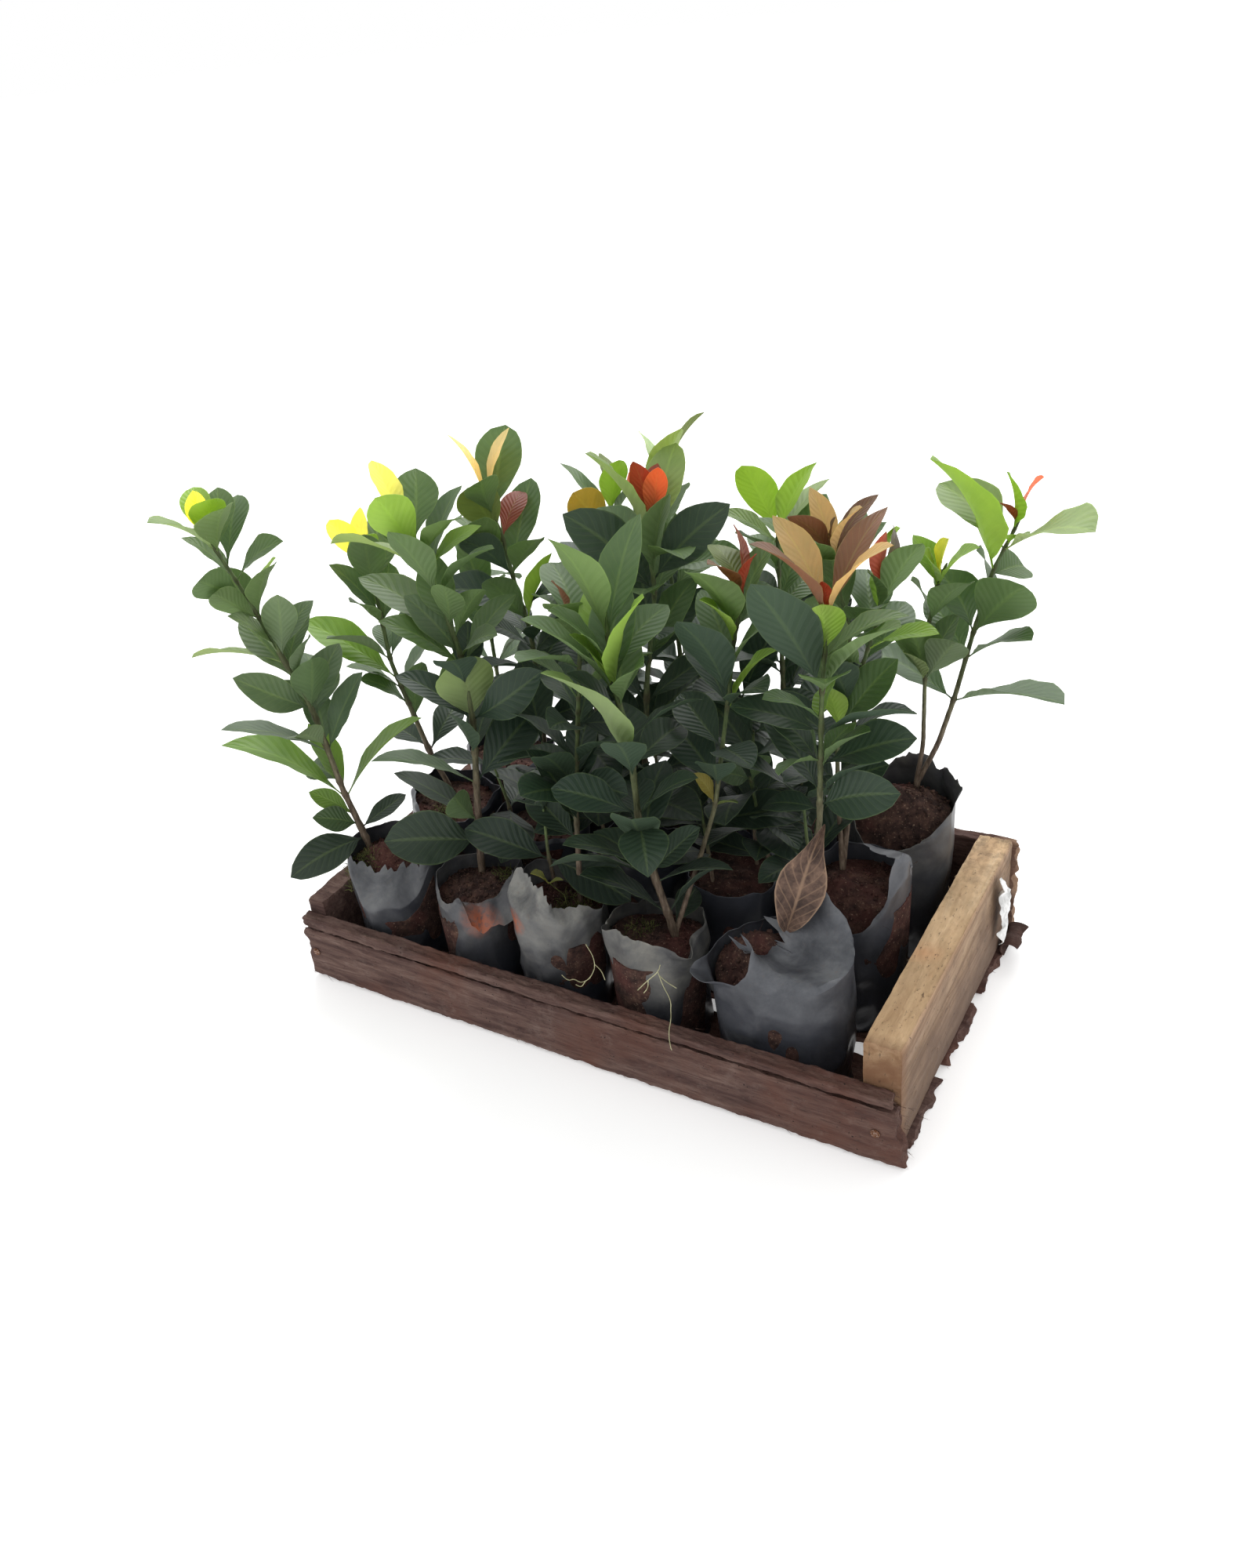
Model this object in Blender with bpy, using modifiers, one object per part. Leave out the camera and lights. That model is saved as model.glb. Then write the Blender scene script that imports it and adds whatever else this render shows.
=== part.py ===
"""Potted ixora: a wooden nursery tray packed with fifteen young ixora plants.

A rough timber tray of slats and end boards holds three rows of five black
film bags. Each bag is filled with coir soil and holds one leafy plant, whose
stems stand in a plain hole in the soil.
Metres, +Z up, +X along the tray, origin on the ground under the tray's middle.
"""
import math
import random
from collections import namedtuple

import bmesh
import bpy
from mathutils import Matrix, Vector
from mathutils.bvhtree import BVHTree

MM = 0.001
CM = 0.01
GAP = 0.3 * MM
WELD = 0.001 * MM

# Tray
TRAY_LENGTH = 520 * MM
TRAY_DEPTH = 260 * MM
SLAT_THICK = 11.7 * MM
SLAT_FOOT = 2 * MM
FRONT_SLAT_TOP = 53 * MM
STRIP_TOP = 65 * MM
BACK_SLAT_TOP = 93 * MM
BACK_SLAT_OVERHANG = 4 * MM
FLOOR_SLAT = (74 * MM, 8 * MM)
FLOOR_SLAT_PITCH = 88 * MM
FLOOR_SLAT_OVERHANG = 5 * MM
END_BOARD_RIGHT = (28 * MM, 98 * MM)
END_BOARD_LEFT = (18 * MM, 76 * MM)
NAIL_SHANK = 1.5 * MM
NAIL_HEAD = (3.6 * MM, 1.4 * MM)
NAIL_LENGTH = 24 * MM
NAIL_HEIGHT = 30 * MM

# Bags
BAG_SIDES = 11
FILM = 0.8 * MM
BAG_FLOOR = FLOOR_SLAT[1] + GAP
MOUND_SHOULDER = (0.62, 0.55)
HOLE_DEPTH = 24 * MM
STEM_ROOT_DEPTH = 18 * MM
STEM_COLLAR = 2.5 * MM

# Leaves
BLADE_THICK = 1.5 * MM
PETIOLE = 1.1 * MM
BLADE_STATIONS = ((0.0, 0.0), (0.24, 0.68), (0.52, 1.0), (0.80, 0.66), (1.0, 0.0))
SMALL_BLADE_STATIONS = ((0.0, 0.0), (0.33, 0.92), (0.72, 0.86), (1.0, 0.0))
SMALL_BLADE = 5.6
ROOT_OFFSET = 0.5
ARCH = 0.07
FOLD = 0.22
CLEARANCE = 0.5 * MM
DODGES = [(turn, lift) for lift in (0, 12, -12, 24) for turn in (0, 10, -10, 20, -20, 32, -32)]
TWIN_HEADINGS = (35, 210)
TWIN_SPACING = 1.6 * CM
TWIN_SCALE = 0.88
TWIN_LEAST = 4.2

# One bag: centre, half widths along X and Y, soil level, rim height, the way
# and amount that the mouth slopes upward (degrees, rise over run), and how
# high its soil is heaped in the middle.
Bag = namedtuple("Bag", "centre half soil rim slope_way slope mound")
BAGS = {
    "front_1": Bag((-0.195, -0.085), (0.0440, 0.0420), 0.100, 0.114, 100, 0.16, 0.004),
    "front_2": Bag((-0.110, -0.085), (0.0370, 0.0420), 0.096, 0.110, 70, 0.10, 0.004),
    "front_3": Bag((-0.032, -0.085), (0.0390, 0.0420), 0.095, 0.112, 150, 0.18, 0.004),
    "front_4": Bag((0.052, -0.085), (0.0430, 0.0420), 0.094, 0.106, 40, 0.06, 0.004),
    "front_5": Bag((0.156, -0.085), (0.0590, 0.0420), 0.104, 0.116, 45, 0.34, 0.004),
    "middle_1": Bag((-0.195, 0.002), (0.0440, 0.0430), 0.105, 0.118, 200, 0.08, 0.004),
    "middle_2": Bag((-0.104, 0.002), (0.0450, 0.0430), 0.100, 0.112, 20, 0.06, 0.004),
    "middle_3": Bag((-0.012, 0.002), (0.0450, 0.0430), 0.100, 0.114, 300, 0.08, 0.004),
    "middle_4": Bag((0.080, 0.002), (0.0450, 0.0430), 0.100, 0.112, 160, 0.06, 0.004),
    "middle_5": Bag((0.176, 0.002), (0.0490, 0.0430), 0.112, 0.126, 50, 0.20, 0.004),
    "back_1": Bag((-0.191, 0.087), (0.0460, 0.0400), 0.105, 0.118, 90, 0.06, 0.004),
    "back_2": Bag((-0.098, 0.087), (0.0450, 0.0400), 0.108, 0.122, 250, 0.05, 0.004),
    "back_3": Bag((-0.006, 0.087), (0.0450, 0.0400), 0.100, 0.114, 10, 0.06, 0.004),
    "back_4": Bag((0.086, 0.087), (0.0450, 0.0400), 0.105, 0.120, 120, 0.08, 0.004),
    "back_5": Bag((0.182, 0.087), (0.0460, 0.0400), 0.128, 0.142, 60, 0.10, 0.024),
}

# One stem: its bag, thickness at the soil and at the tip in mm, its foot (x, y)
# and its course above that (x, y, z) in cm from the bag's centre on the ground,
# and its leaves. A bag's second stem forks from the first one's foot.
# A leaf: height up the stem in cm, heading from +X and rise in degrees,
# length and width in cm, and how far the blade is turned on its midrib.
Stem = namedtuple("Stem", "bag girth foot course leaves")
STEMS = [
    Stem("front_1", (5.6, 2.6), (-3, 0.5), [(-3.5, -0.5, 17), (-4, -1, 24), (-4.5, -2, 28.5),
         (-5.5, -3, 34), (-6.5, -4, 38.5), (-6.5, -4.5, 39.5)], [
        (1, 250, -15, 7, 2.8, -40), (2, 60, 20, 4.5, 1.8, 20), (2.5, 240, 30, 4, 2, -60),
        (3.5, 205, 35, 4, 1.6, -40), (5.5, 220, 40, 10.5, 4.2, 0), (5.5, 165, 60, 6.5, 2.6, 20),
        (7, 160, 0, 4.5, 2.6, -20), (10, 235, 30, 8.5, 3.4, 0), (10, 55, 55, 7, 2.8, 20),
        (13, 100, 30, 6.5, 3.8, 30), (14, 235, 40, 6.5, 2.6, -60), (14, 330, 70, 5, 3, -20),
        (18, 100, 35, 5, 2, 0), (18.5, 200, 5, 7.5, 3, 20), (19, 340, 70, 6, 2.4, -20),
        (22.5, 270, 45, 5, 2, 60), (23, 110, 25, 5.5, 2.2, -40), (24.5, 280, 35, 5.5, 2.6, 60),
        (27, 120, 30, 7, 2.8, -10), (28.5, 265, 40, 6, 2.4, 0), (29.5, 345, 55, 4.5, 2.4, -20),
        (29.5, 140, 35, 5, 2, 0), (30, 325, 65, 4, 1.6, 40)]),
    Stem("front_2", (6.4, 2.8), (-1, 2), [(-0.5, 2.5, 17), (0, 3, 23), (0, 3, 29),
         (-0.5, 2.5, 33.5), (-1.5, 2, 37.5), (-2, 1.5, 39.5)], [
        (2.5, 225, 15, 7.5, 4, -50), (4.5, 200, 35, 7.5, 3, 0), (4.5, 245, 60, 4, 2.2, 80),
        (8, 230, 30, 8.5, 3.4, 0), (8, 70, 30, 8, 3.4, 40), (13.5, 330, 80, 6, 4.2, -10),
        (13.5, 15, 35, 7.5, 3, 70), (18, 235, 45, 7.5, 3, -20), (20.5, 185, 30, 8.5, 3.4, 0),
        (20.5, 10, 55, 5, 2, -40), (24, 265, 60, 7, 2.8, 10), (25.5, 85, 50, 7, 2.8, -20),
        (26, 50, 30, 5, 2, 0), (26, 180, 10, 8.5, 3.4, 30), (27, 270, 60, 6.5, 3, 40),
        (28, 115, 45, 6, 3, 10), (30, 150, 45, 5.5, 2.2, 30), (30, 120, 45, 6, 2.4, -30)]),
    Stem("middle_1", (5.4, 2.6), (-1.5, 1.5), [(-2.5, 1, 14.5), (-3.5, 0.5, 20), (-4, 0, 24),
         (-4, 0, 30), (-4.5, 0, 32.5)], [
        (4, 95, 20, 6, 2.4, 30), (4.5, 165, 5, 5, 2, -20), (7.5, 25, 75, 5.5, 2.2, -60),
        (9, 240, 45, 5, 2, -20), (11.5, 205, 40, 9, 3.6, -20), (13.5, 140, 25, 4, 1.6, 0),
        (17, 105, 25, 5, 2, 20), (17.5, 235, 60, 6, 2.4, -40), (21, 325, 60, 5, 2.2, 0),
        (22, 125, 50, 5, 2, -40), (22.5, 245, 65, 5, 2, 60)]),
    Stem("middle_2", (5.4, 2.6), (-0.5, 2), [(0, 2.5, 20.5), (0, 2.5, 27.5), (-0.5, 2, 32),
         (-1, 2, 35.5), (-1.5, 1.5, 38.5)], [
        (9, 70, -5, 5, 2.2, 50), (10.5, 170, 5, 6, 2.4, -20), (15, 10, 40, 5.5, 2.2, 40),
        (15.5, 245, 40, 6, 2.4, -20), (18, 260, 55, 6, 2.4, 40), (18, 15, 65, 6, 2.4, -20),
        (22, 100, 45, 8, 3.2, -10), (22, 255, 45, 6, 2.4, 40), (25, 100, 25, 5, 1.8, 20),
        (25.5, 260, 60, 5, 3, 50), (26, 115, 40, 6, 2.4, -40), (28.5, 185, 65, 5.5, 1.8, 20),
        (28.5, 70, 60, 5.5, 1.6, -20)]),
    Stem("back_1", (5, 2.6), (1, -2), [(1.5, -2, 17.5), (1.5, -2, 25), (1.5, -2, 29.5)], [
        (5, 250, 40, 5, 2, -80), (5, 75, -40, 5, 2.2, 80), (8.5, 80, -10, 5.5, 2.2, 40),
        (10.5, 255, 10, 6, 2.4, -20), (15, 165, 65, 7, 2.8, 20), (19, 105, -20, 5, 2, 0)]),
    Stem("back_2", (5.4, 2.6), (0, 0.5), [(0.5, 0.5, 19), (1.5, 1.5, 26), (2.5, 2, 32.5),
         (3, 2, 35)], [
        (9.5, 170, 0, 6, 2.4, -40), (9.5, 80, -15, 6, 2.4, 40), (15.5, 75, 5, 6, 2.4, 30),
        (17, 155, 25, 6.5, 2.6, 0), (21, 75, -10, 5, 2, 50), (21.5, 260, 55, 6, 2.8, 50),
        (23.5, 330, 65, 5.5, 2.2, -10), (24, 125, 30, 6, 2.4, 40)]),
    Stem("front_3", (5, 2.4), (1, 1.5), [(1.5, 2, 19), (2.5, 2.5, 27), (3, 3, 32),
         (2.5, 2.5, 34)], [
        (5.5, 155, 15, 6.5, 2.6, -20), (10.5, 340, 15, 6, 2.8, 40), (10.5, 275, 50, 6.5, 2.6, 30),
        (15.5, 80, -30, 6.5, 2.6, 60), (16.5, 140, 10, 6, 2.4, 0), (20.5, 85, -25, 5.5, 2.2, 40),
        (22, 275, 40, 5.5, 2.2, 0), (24, 150, 0, 5, 2, 30), (24.5, 285, 60, 4, 1.2, -40)]),
    Stem("middle_3", (6, 2.8), (0, 1), [(1, 1.5, 19.5), (1.5, 2, 25.5), (2.5, 2.5, 32),
         (2.5, 2.5, 36), (2.5, 2.5, 37.5)], [
        (5.5, 75, -20, 6.5, 2.8, 50), (9, 160, -5, 6.5, 3, -40), (11, 75, 10, 8, 3.2, 30),
        (13.5, 160, 15, 6.5, 2.6, -40), (16.5, 60, 50, 7, 2.8, 20), (22, 220, 50, 9, 3.6, -60),
        (23, 335, 70, 7.5, 3, 20), (23, 20, 55, 8, 3.2, 60), (26, 240, 60, 8.5, 3.4, -10),
        (28, 265, 70, 5, 1.8, 40), (28, 335, 70, 5, 1.6, -30)]),
    Stem("back_3", (5.6, 2.6), (0, 0.5), [(0, 0.5, 22), (0, 0, 30.5), (-0.5, 0, 36),
         (-0.5, 0, 37.5)], [
        (7.5, 85, 5, 6.5, 3, 30), (7.5, 150, -5, 6, 3, -20), (13, 90, 15, 6, 2.6, 20),
        (19, 145, 15, 6.5, 2.6, -10), (19, 80, 20, 6.5, 2.6, 20), (26, 340, 65, 7, 2.8, 10),
        (26.5, 130, 35, 6.5, 2.6, 60), (27, 100, 35, 7, 2.8, -40)]),
    Stem("front_4", (6.4, 2.8), (1.5, 0.5), [(0.5, 0, 15.5), (0, -0.5, 20.5), (0, -0.5, 27.5),
         (-0.5, -1, 31), (-0.5, -1, 34.5), (-0.5, -1, 36.5)], [
        (0.5, 85, -5, 4.5, 1.8, 20), (5.5, 190, 0, 8, 3.2, 40), (6, 25, 45, 5, 2, 30),
        (6, 230, 35, 7.5, 3, 0), (10.5, 305, -15, 5, 3.2, 0), (15, 245, 60, 11, 4.4, 0),
        (15, 85, 0, 6.5, 2.6, 20), (21, 340, 65, 8.5, 3.4, 30), (21, 250, 50, 8.5, 3.4, 0),
        (21.5, 255, 60, 5, 2, -20), (25, 260, 65, 9, 3.6, 0)]),
    Stem("front_4", (4.6, 2.4), (2, 1.5), [(3, 2.5, 16), (4, 3.5, 20), (5, 4.5, 28),
         (5.5, 5, 32.5), (6, 5.5, 35.5), (6, 5.5, 36.5)], [
        (11, 215, 65, 3, 1.2, -40), (11, 350, 20, 2, 0.8, -20), (18.5, 5, 55, 6, 2.4, 0),
        (19.5, 250, 60, 8, 3.2, 20), (23.5, 255, 55, 5, 2, -20), (24.5, 85, 10, 5, 2, 20),
        (26.5, 330, 65, 4, 1.2, 10), (26.5, 270, 45, 6, 1.8, -10), (27, 140, 20, 5, 2, 10),
        (27.5, 120, 30, 5, 1.6, 60)]),
    Stem("middle_4", (4.4, 2.4), (2.5, 1), [(2, 0.5, 14.5), (1.5, 0, 19.5)], [
        (1.5, 180, -20, 6.5, 2.6, -10), (4.5, 250, 15, 6, 2.4, 20), (5.5, 330, 0, 5, 2, -20),
        (9.5, 240, 30, 3.5, 1.6, -60), (9, 350, 60, 3, 1.4, -40)]),
    Stem("back_4", (5.4, 2.6), (-0.5, 1), [(-0.5, 1, 20.5), (-0.5, 1, 28.5), (-0.5, 1, 34),
         (-0.5, 1, 35.5)], [
        (5.5, 140, -5, 6, 2.8, -20), (11, 75, -5, 6.5, 2.8, 40), (13, 145, -10, 6, 2.8, -30),
        (17.5, 140, 10, 6, 2.4, -20), (17.5, 85, 10, 6, 2.4, 20), (20.5, 140, 20, 5, 2, 0),
        (23, 70, 30, 6.5, 2.6, -20), (23, 210, 35, 5, 2, -20), (24, 230, 65, 6, 2.6, 60),
        (24, 350, 60, 6.5, 2.6, -20)]),
    Stem("front_5", (5.6, 2.6), (0.2, 2.8), [(1, 4.8, 19.5), (2, 3.2, 30.5), (2.5, 3, 35.5),
         (2.5, 3, 36.5)], [
        (9.5, 170, -15, 5, 2, -20), (10, 350, 25, 6.5, 3, 60), (13.5, 345, 45, 5.5, 2.2, 0),
        (14, 255, 15, 4.5, 1.8, 20), (17, 100, 10, 5, 2, -50), (17.5, 235, 35, 5, 2, 0),
        (20, 235, 60, 9.5, 3.8, 40), (20, 345, 45, 8, 3.2, 0), (22.5, 285, 60, 4, 2.4, 0),
        (25, 245, 50, 8.5, 2.6, -10), (25, 335, 50, 8, 2.4, 20), (25.5, 285, 65, 3, 0.8, -20)]),
    Stem("middle_5", (4.6, 2.4), (-1.5, 1.5), [(-2, 2, 19), (-2, 2, 23), (-0.5, 3, 28.5),
         (0.5, 3.5, 32), (0.5, 4, 34)], [
        (6, 340, 35, 4.5, 2, 60), (7, 350, 40, 6, 2.4, 60), (12, 255, 70, 4.5, 1.8, 20),
        (12.5, 10, 55, 6.5, 2.6, 60), (17, 135, -10, 5, 2, 20), (18.5, 345, 25, 6, 2.4, 0),
        (21, 100, 30, 7.5, 3, -80), (21.5, 350, 60, 6, 2.4, -40), (21.5, 270, 60, 4, 1.6, -40),
        (22.5, 325, 70, 5.5, 1.6, 40), (23, 120, 25, 6, 1.8, 70)]),
    Stem("middle_5", (5, 2.4), (-0.5, 3), [(-1, 3, 22), (-1.5, 3, 31.5), (-2.5, 3, 35.5),
         (-2.5, 3, 37)], [
        (18.5, 85, 15, 5.5, 2.2, -20), (20, 135, 10, 5.5, 2.2, 10), (22.5, 285, 50, 4.5, 2.2, 0),
        (23, 235, 45, 6.5, 2.6, 0), (24.5, 320, 55, 6, 1.8, 40), (25, 245, 45, 5.5, 1.6, 40),
        (25, 295, 65, 3.5, 1, 80)]),
    Stem("back_5", (4.2, 2.4), (0.5, 2), [(1, 2, 18.5), (1, 2, 24), (1, 2.5, 28.5),
         (1.5, 2.5, 31.5), (2, 3, 33)], [
        (9.5, 230, 70, 6, 2.4, 40), (9.5, 325, 65, 5.5, 2.2, -40), (9.5, 240, 55, 3.5, 1.4, 0),
        (14, 335, 50, 5.5, 2.2, -20), (14, 125, 20, 4.5, 1.8, 60), (17, 260, 55, 4, 1.6, -40),
        (17, 330, 50, 4.5, 1.8, 10), (17.5, 290, 60, 3.5, 1.4, 80)]),
    Stem("back_5", (5, 2.4), (1.5, 2.5), [(2, 2.5, 18.5), (3, 3, 22.5), (4, 4, 28),
         (5, 4.5, 32.5), (6, 5.5, 35), (6.5, 5.5, 36.5)], [
        (8, 345, 15, 9, 3.6, -20), (11.5, 335, 30, 6.5, 2.6, 0), (13.5, 340, 50, 6, 3.2, -60),
        (17, 115, 15, 4.5, 1.8, 60), (18, 70, -10, 4, 2, 40), (18.5, 230, 60, 10.5, 4.2, -10),
        (20, 330, 25, 8.5, 3.4, 0), (20.5, 310, 30, 3, 1.2, 0), (21.5, 260, 70, 5, 2, -50),
        (22, 275, 60, 3.5, 1, 0), (22.5, 85, 20, 4.5, 1.2, -60)]),
]


# Scene and materials

for leftover in list(bpy.data.objects):
    bpy.data.objects.remove(leftover, do_unlink=True)

ixora = bpy.data.collections.new("potted_ixora")
cutters = bpy.data.collections.new("cutters")
bpy.context.scene.collection.children.link(ixora)
bpy.context.scene.collection.children.link(cutters)


def new_material(name, colour, roughness, metallic=0.0):
    material = bpy.data.materials.new(name)
    material.use_nodes = True
    shader = material.node_tree.nodes["Principled BSDF"]
    shader.inputs["Base Color"].default_value = (*colour, 1.0)
    shader.inputs["Roughness"].default_value = roughness
    shader.inputs["Metallic"].default_value = metallic
    material.diffuse_color = (*colour, 1.0)
    return material


weathered_wood = new_material("weathered_wood", (0.105, 0.062, 0.054), 0.9)
sawn_wood = new_material("sawn_wood", (0.40, 0.27, 0.15), 0.85)
steel = new_material("nail_steel", (0.42, 0.40, 0.38), 0.45, 1.0)
film = new_material("bag_film", (0.030, 0.032, 0.038), 0.42)
coir_soil = new_material("coir_soil", (0.085, 0.045, 0.030), 0.97)
foliage = new_material("foliage", (0.075, 0.17, 0.055), 0.45)
dry_leaf = new_material("dry_leaf", (0.27, 0.14, 0.08), 0.8)


# Shared makers

def add_object(name, mesh, material, collection=ixora):
    thing = bpy.data.objects.new(name, mesh)
    collection.objects.link(thing)
    if material:
        mesh.materials.clear()
        mesh.materials.append(material)
    return thing


def mesh_from(bm, name):
    mesh = bpy.data.meshes.new(name)
    bm.to_mesh(mesh)
    bm.free()
    return mesh


def bake(thing):
    """Replace an object by the mesh that its modifiers give, welded, in world space."""
    evaluated = thing.evaluated_get(bpy.context.evaluated_depsgraph_get())
    bm = bmesh.new()
    bm.from_mesh(bpy.data.meshes.new_from_object(evaluated))
    bm.transform(thing.matrix_world)
    bmesh.ops.remove_doubles(bm, verts=bm.verts, dist=WELD)
    mesh = mesh_from(bm, thing.name)
    name, collection = thing.name, thing.users_collection[0]
    materials = list(thing.data.materials)
    bpy.data.objects.remove(thing, do_unlink=True)
    return add_object(name, mesh, materials[0] if materials else None, collection)


def boolean(thing, operation, operand, solver="EXACT"):
    """Cut or join with an object or with a whole collection, and apply it."""
    modifier = thing.modifiers.new(operation.lower(), "BOOLEAN")
    modifier.operation = operation
    modifier.solver = solver
    if isinstance(operand, bpy.types.Collection):
        modifier.operand_type = "COLLECTION"
        modifier.collection = operand
    else:
        modifier.object = operand
    return bake(thing)


def screw(name, profile, material, collection=ixora, steps=BAG_SIDES):
    """Turn a profile of (radius, height) points about Z."""
    mesh = bpy.data.meshes.new(name)
    vertices = [(radius, 0.0, height) for radius, height in profile]
    mesh.from_pydata(vertices, [(i, i + 1) for i in range(len(profile) - 1)], [])
    turned = add_object(name, mesh, material, collection)
    modifier = turned.modifiers.new("turn", "SCREW")
    modifier.steps = modifier.render_steps = steps
    modifier.use_merge_vertices = True
    modifier.merge_threshold = 0.0001
    return bake(turned)


def cutter_rod(start, end, radius, sides=8):
    """A straight round cutter between two points."""
    start, end = Vector(start), Vector(end)
    bm = bmesh.new()
    bmesh.ops.create_cone(bm, cap_ends=True, segments=sides, radius1=radius, radius2=radius,
                          depth=(end - start).length)
    turn = (end - start).to_track_quat("Z", "Y").to_matrix().to_4x4()
    bm.transform(Matrix.Translation((start + end) / 2) @ turn)
    rod = add_object("cutter_rod", mesh_from(bm, "cutter_rod"), None, cutters)
    rod.hide_render = True
    rod.display_type = "WIRE"
    return rod


def cut(thing, cutter):
    result = boolean(thing, "DIFFERENCE", cutter)
    bpy.data.objects.remove(cutter, do_unlink=True)
    return result


# Tray boards: flat outlines with torn ends, extruded by their thickness

def torn_edge(start, end, count, depth, rng):
    """Points from start to end, all but the first pushed in and out at random."""
    (u0, v0), (u1, v1) = start, end
    length = math.hypot(u1 - u0, v1 - v0)
    across = (-(v1 - v0) / length, (u1 - u0) / length)
    points = []
    for i in range(count):
        share = i / count
        push = rng.uniform(-depth, depth) if i else 0.0
        points.append((u0 + (u1 - u0) * share + across[0] * push,
                       v0 + (v1 - v0) * share + across[1] * push))
    return points


PLANES = {
    "front": Matrix(((1, 0, 0), (0, 0, -1), (0, 1, 0))).to_4x4(),
    "side": Matrix(((0, 0, 1), (1, 0, 0), (0, 1, 0))).to_4x4(),
    "flat": Matrix.Identity(4),
}


def board(name, corners, torn, plane, near, thick, material, seed):
    """An outline of four corners, with (count, depth) of tearing for each edge."""
    rng = random.Random(seed)
    points = []
    for i, (count, depth) in enumerate(torn):
        points += torn_edge(corners[i], corners[(i + 1) % 4], count, depth, rng)
    curve = bpy.data.curves.new(name, "CURVE")
    curve.dimensions = "2D"
    curve.fill_mode = "BOTH"
    curve.extrude = thick / 2
    spline = curve.splines.new("POLY")
    spline.points.add(len(points) - 1)
    spline.use_cyclic_u = True
    for point, (u, v) in zip(spline.points, points):
        point.co = (u, v, 0.0, 1.0)
    plank = bpy.data.objects.new(name, curve)
    ixora.objects.link(plank)
    curve.materials.append(material)
    plank.matrix_world = PLANES[plane] @ Matrix.Translation((0, 0, near + thick / 2))
    bpy.context.view_layer.update()
    return bake(plank)


def rectangle(u0, v0, u1, v1):
    return [(u0, v0), (u1, v0), (u1, v1), (u0, v1)]


half_length = TRAY_LENGTH / 2
half_depth = TRAY_DEPTH / 2
board_foot = FLOOR_SLAT[1] + GAP
TORN = 2.5 * MM

for index, row in enumerate((-1, 0, 1)):
    middle = row * FLOOR_SLAT_PITCH
    board(f"floor_slat_{index + 1}",
          rectangle(-half_length - 2 * MM, middle - FLOOR_SLAT[0] / 2,
                    half_length + FLOOR_SLAT_OVERHANG, middle + FLOOR_SLAT[0] / 2),
          ((1, 0), (7, 1.2 * TORN), (1, 0), (4, TORN)), "flat", 0.0, FLOOR_SLAT[1],
          weathered_wood, 11 + index)

end_boards = {}
for side, (thick, top) in (("left", END_BOARD_LEFT), ("right", END_BOARD_RIGHT)):
    near = half_length - thick if side == "right" else -half_length
    end_boards[side] = board(f"end_board_{side}",
                             rectangle(-half_depth, board_foot, half_depth, top),
                             ((1, 0), (1, 0), (5, 0.8 * MM), (1, 0)), "side", near, thick,
                             sawn_wood if side == "right" else weathered_wood, 21)

front_near = half_depth + GAP
front_slat = board("front_slat",
                   [(-half_length - 3 * MM, SLAT_FOOT), (half_length + 8 * MM, SLAT_FOOT),
                    (half_length, FRONT_SLAT_TOP - 2 * MM),
                    (-half_length - 1 * MM, FRONT_SLAT_TOP)],
                   ((14, 0.8 * MM), (5, TORN), (10, 0.4 * MM), (4, TORN)),
                   "front", front_near, SLAT_THICK, weathered_wood, 31)
front_strip = board("front_strip",
                    [(-half_length + 1 * MM, FRONT_SLAT_TOP + 1.2 * MM),
                     (half_length - 2 * MM, FRONT_SLAT_TOP + 1.2 * MM),
                     (half_length - 4 * MM, STRIP_TOP - 3 * MM), (-half_length - 1 * MM, STRIP_TOP)],
                    ((8, 0.4 * MM), (2, TORN), (10, 0.8 * MM), (2, TORN)),
                    "front", front_near, SLAT_THICK, weathered_wood, 37)
back_slat = board("back_slat",
                  rectangle(-half_length - 1 * MM, SLAT_FOOT,
                            half_length + BACK_SLAT_OVERHANG, BACK_SLAT_TOP),
                  ((12, 0.8 * MM), (6, TORN), (12, 1.0 * MM), (4, TORN)),
                  "front", -half_depth - GAP - SLAT_THICK, SLAT_THICK, weathered_wood, 43)

# Nails: one through each end of the lower front slat and of the back slat
for face, outward in (("front", -1), ("back", 1)):
    for side, sign in (("left", -1), ("right", 1)):
        thick = END_BOARD_LEFT[0] if side == "left" else END_BOARD_RIGHT[0]
        x = sign * (half_length - thick / 2)
        skin = outward * (half_depth + GAP + SLAT_THICK)
        inner = skin - outward * NAIL_LENGTH
        bore = NAIL_SHANK + GAP
        reach = (skin + outward * 5 * MM, inner - outward * 1 * MM)
        ends = ((x, reach[0], NAIL_HEIGHT), (x, reach[1], NAIL_HEIGHT))
        if face == "front":
            front_slat = cut(front_slat, cutter_rod(*ends, bore))
        else:
            back_slat = cut(back_slat, cutter_rod(*ends, bore))
        end_boards[side] = cut(end_boards[side], cutter_rod(*ends, bore))
        head_radius, head_thick = NAIL_HEAD
        nail = screw(f"nail_{face}_{side}",
                     [(0, head_thick), (head_radius * 0.8, head_thick), (head_radius, head_thick * 0.5),
                      (head_radius, 0), (NAIL_SHANK, 0), (NAIL_SHANK, 3 * MM - NAIL_LENGTH),
                      (0, -NAIL_LENGTH)], steel, steps=8)
        nail.data.transform(Matrix.Translation((x, skin + outward * GAP, NAIL_HEIGHT))
                            @ Vector((0, outward, 0)).to_track_quat("Z", "X").to_matrix().to_4x4())


# Bags and soil

def slope_lift(bag, x, y):
    """How far the sloping mouth stands above its middle, at shares of the half widths."""
    way = math.radians(bag.slope_way)
    return bag.slope * (x * math.cos(way) + y * math.sin(way)) * sum(bag.half) / 2


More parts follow.
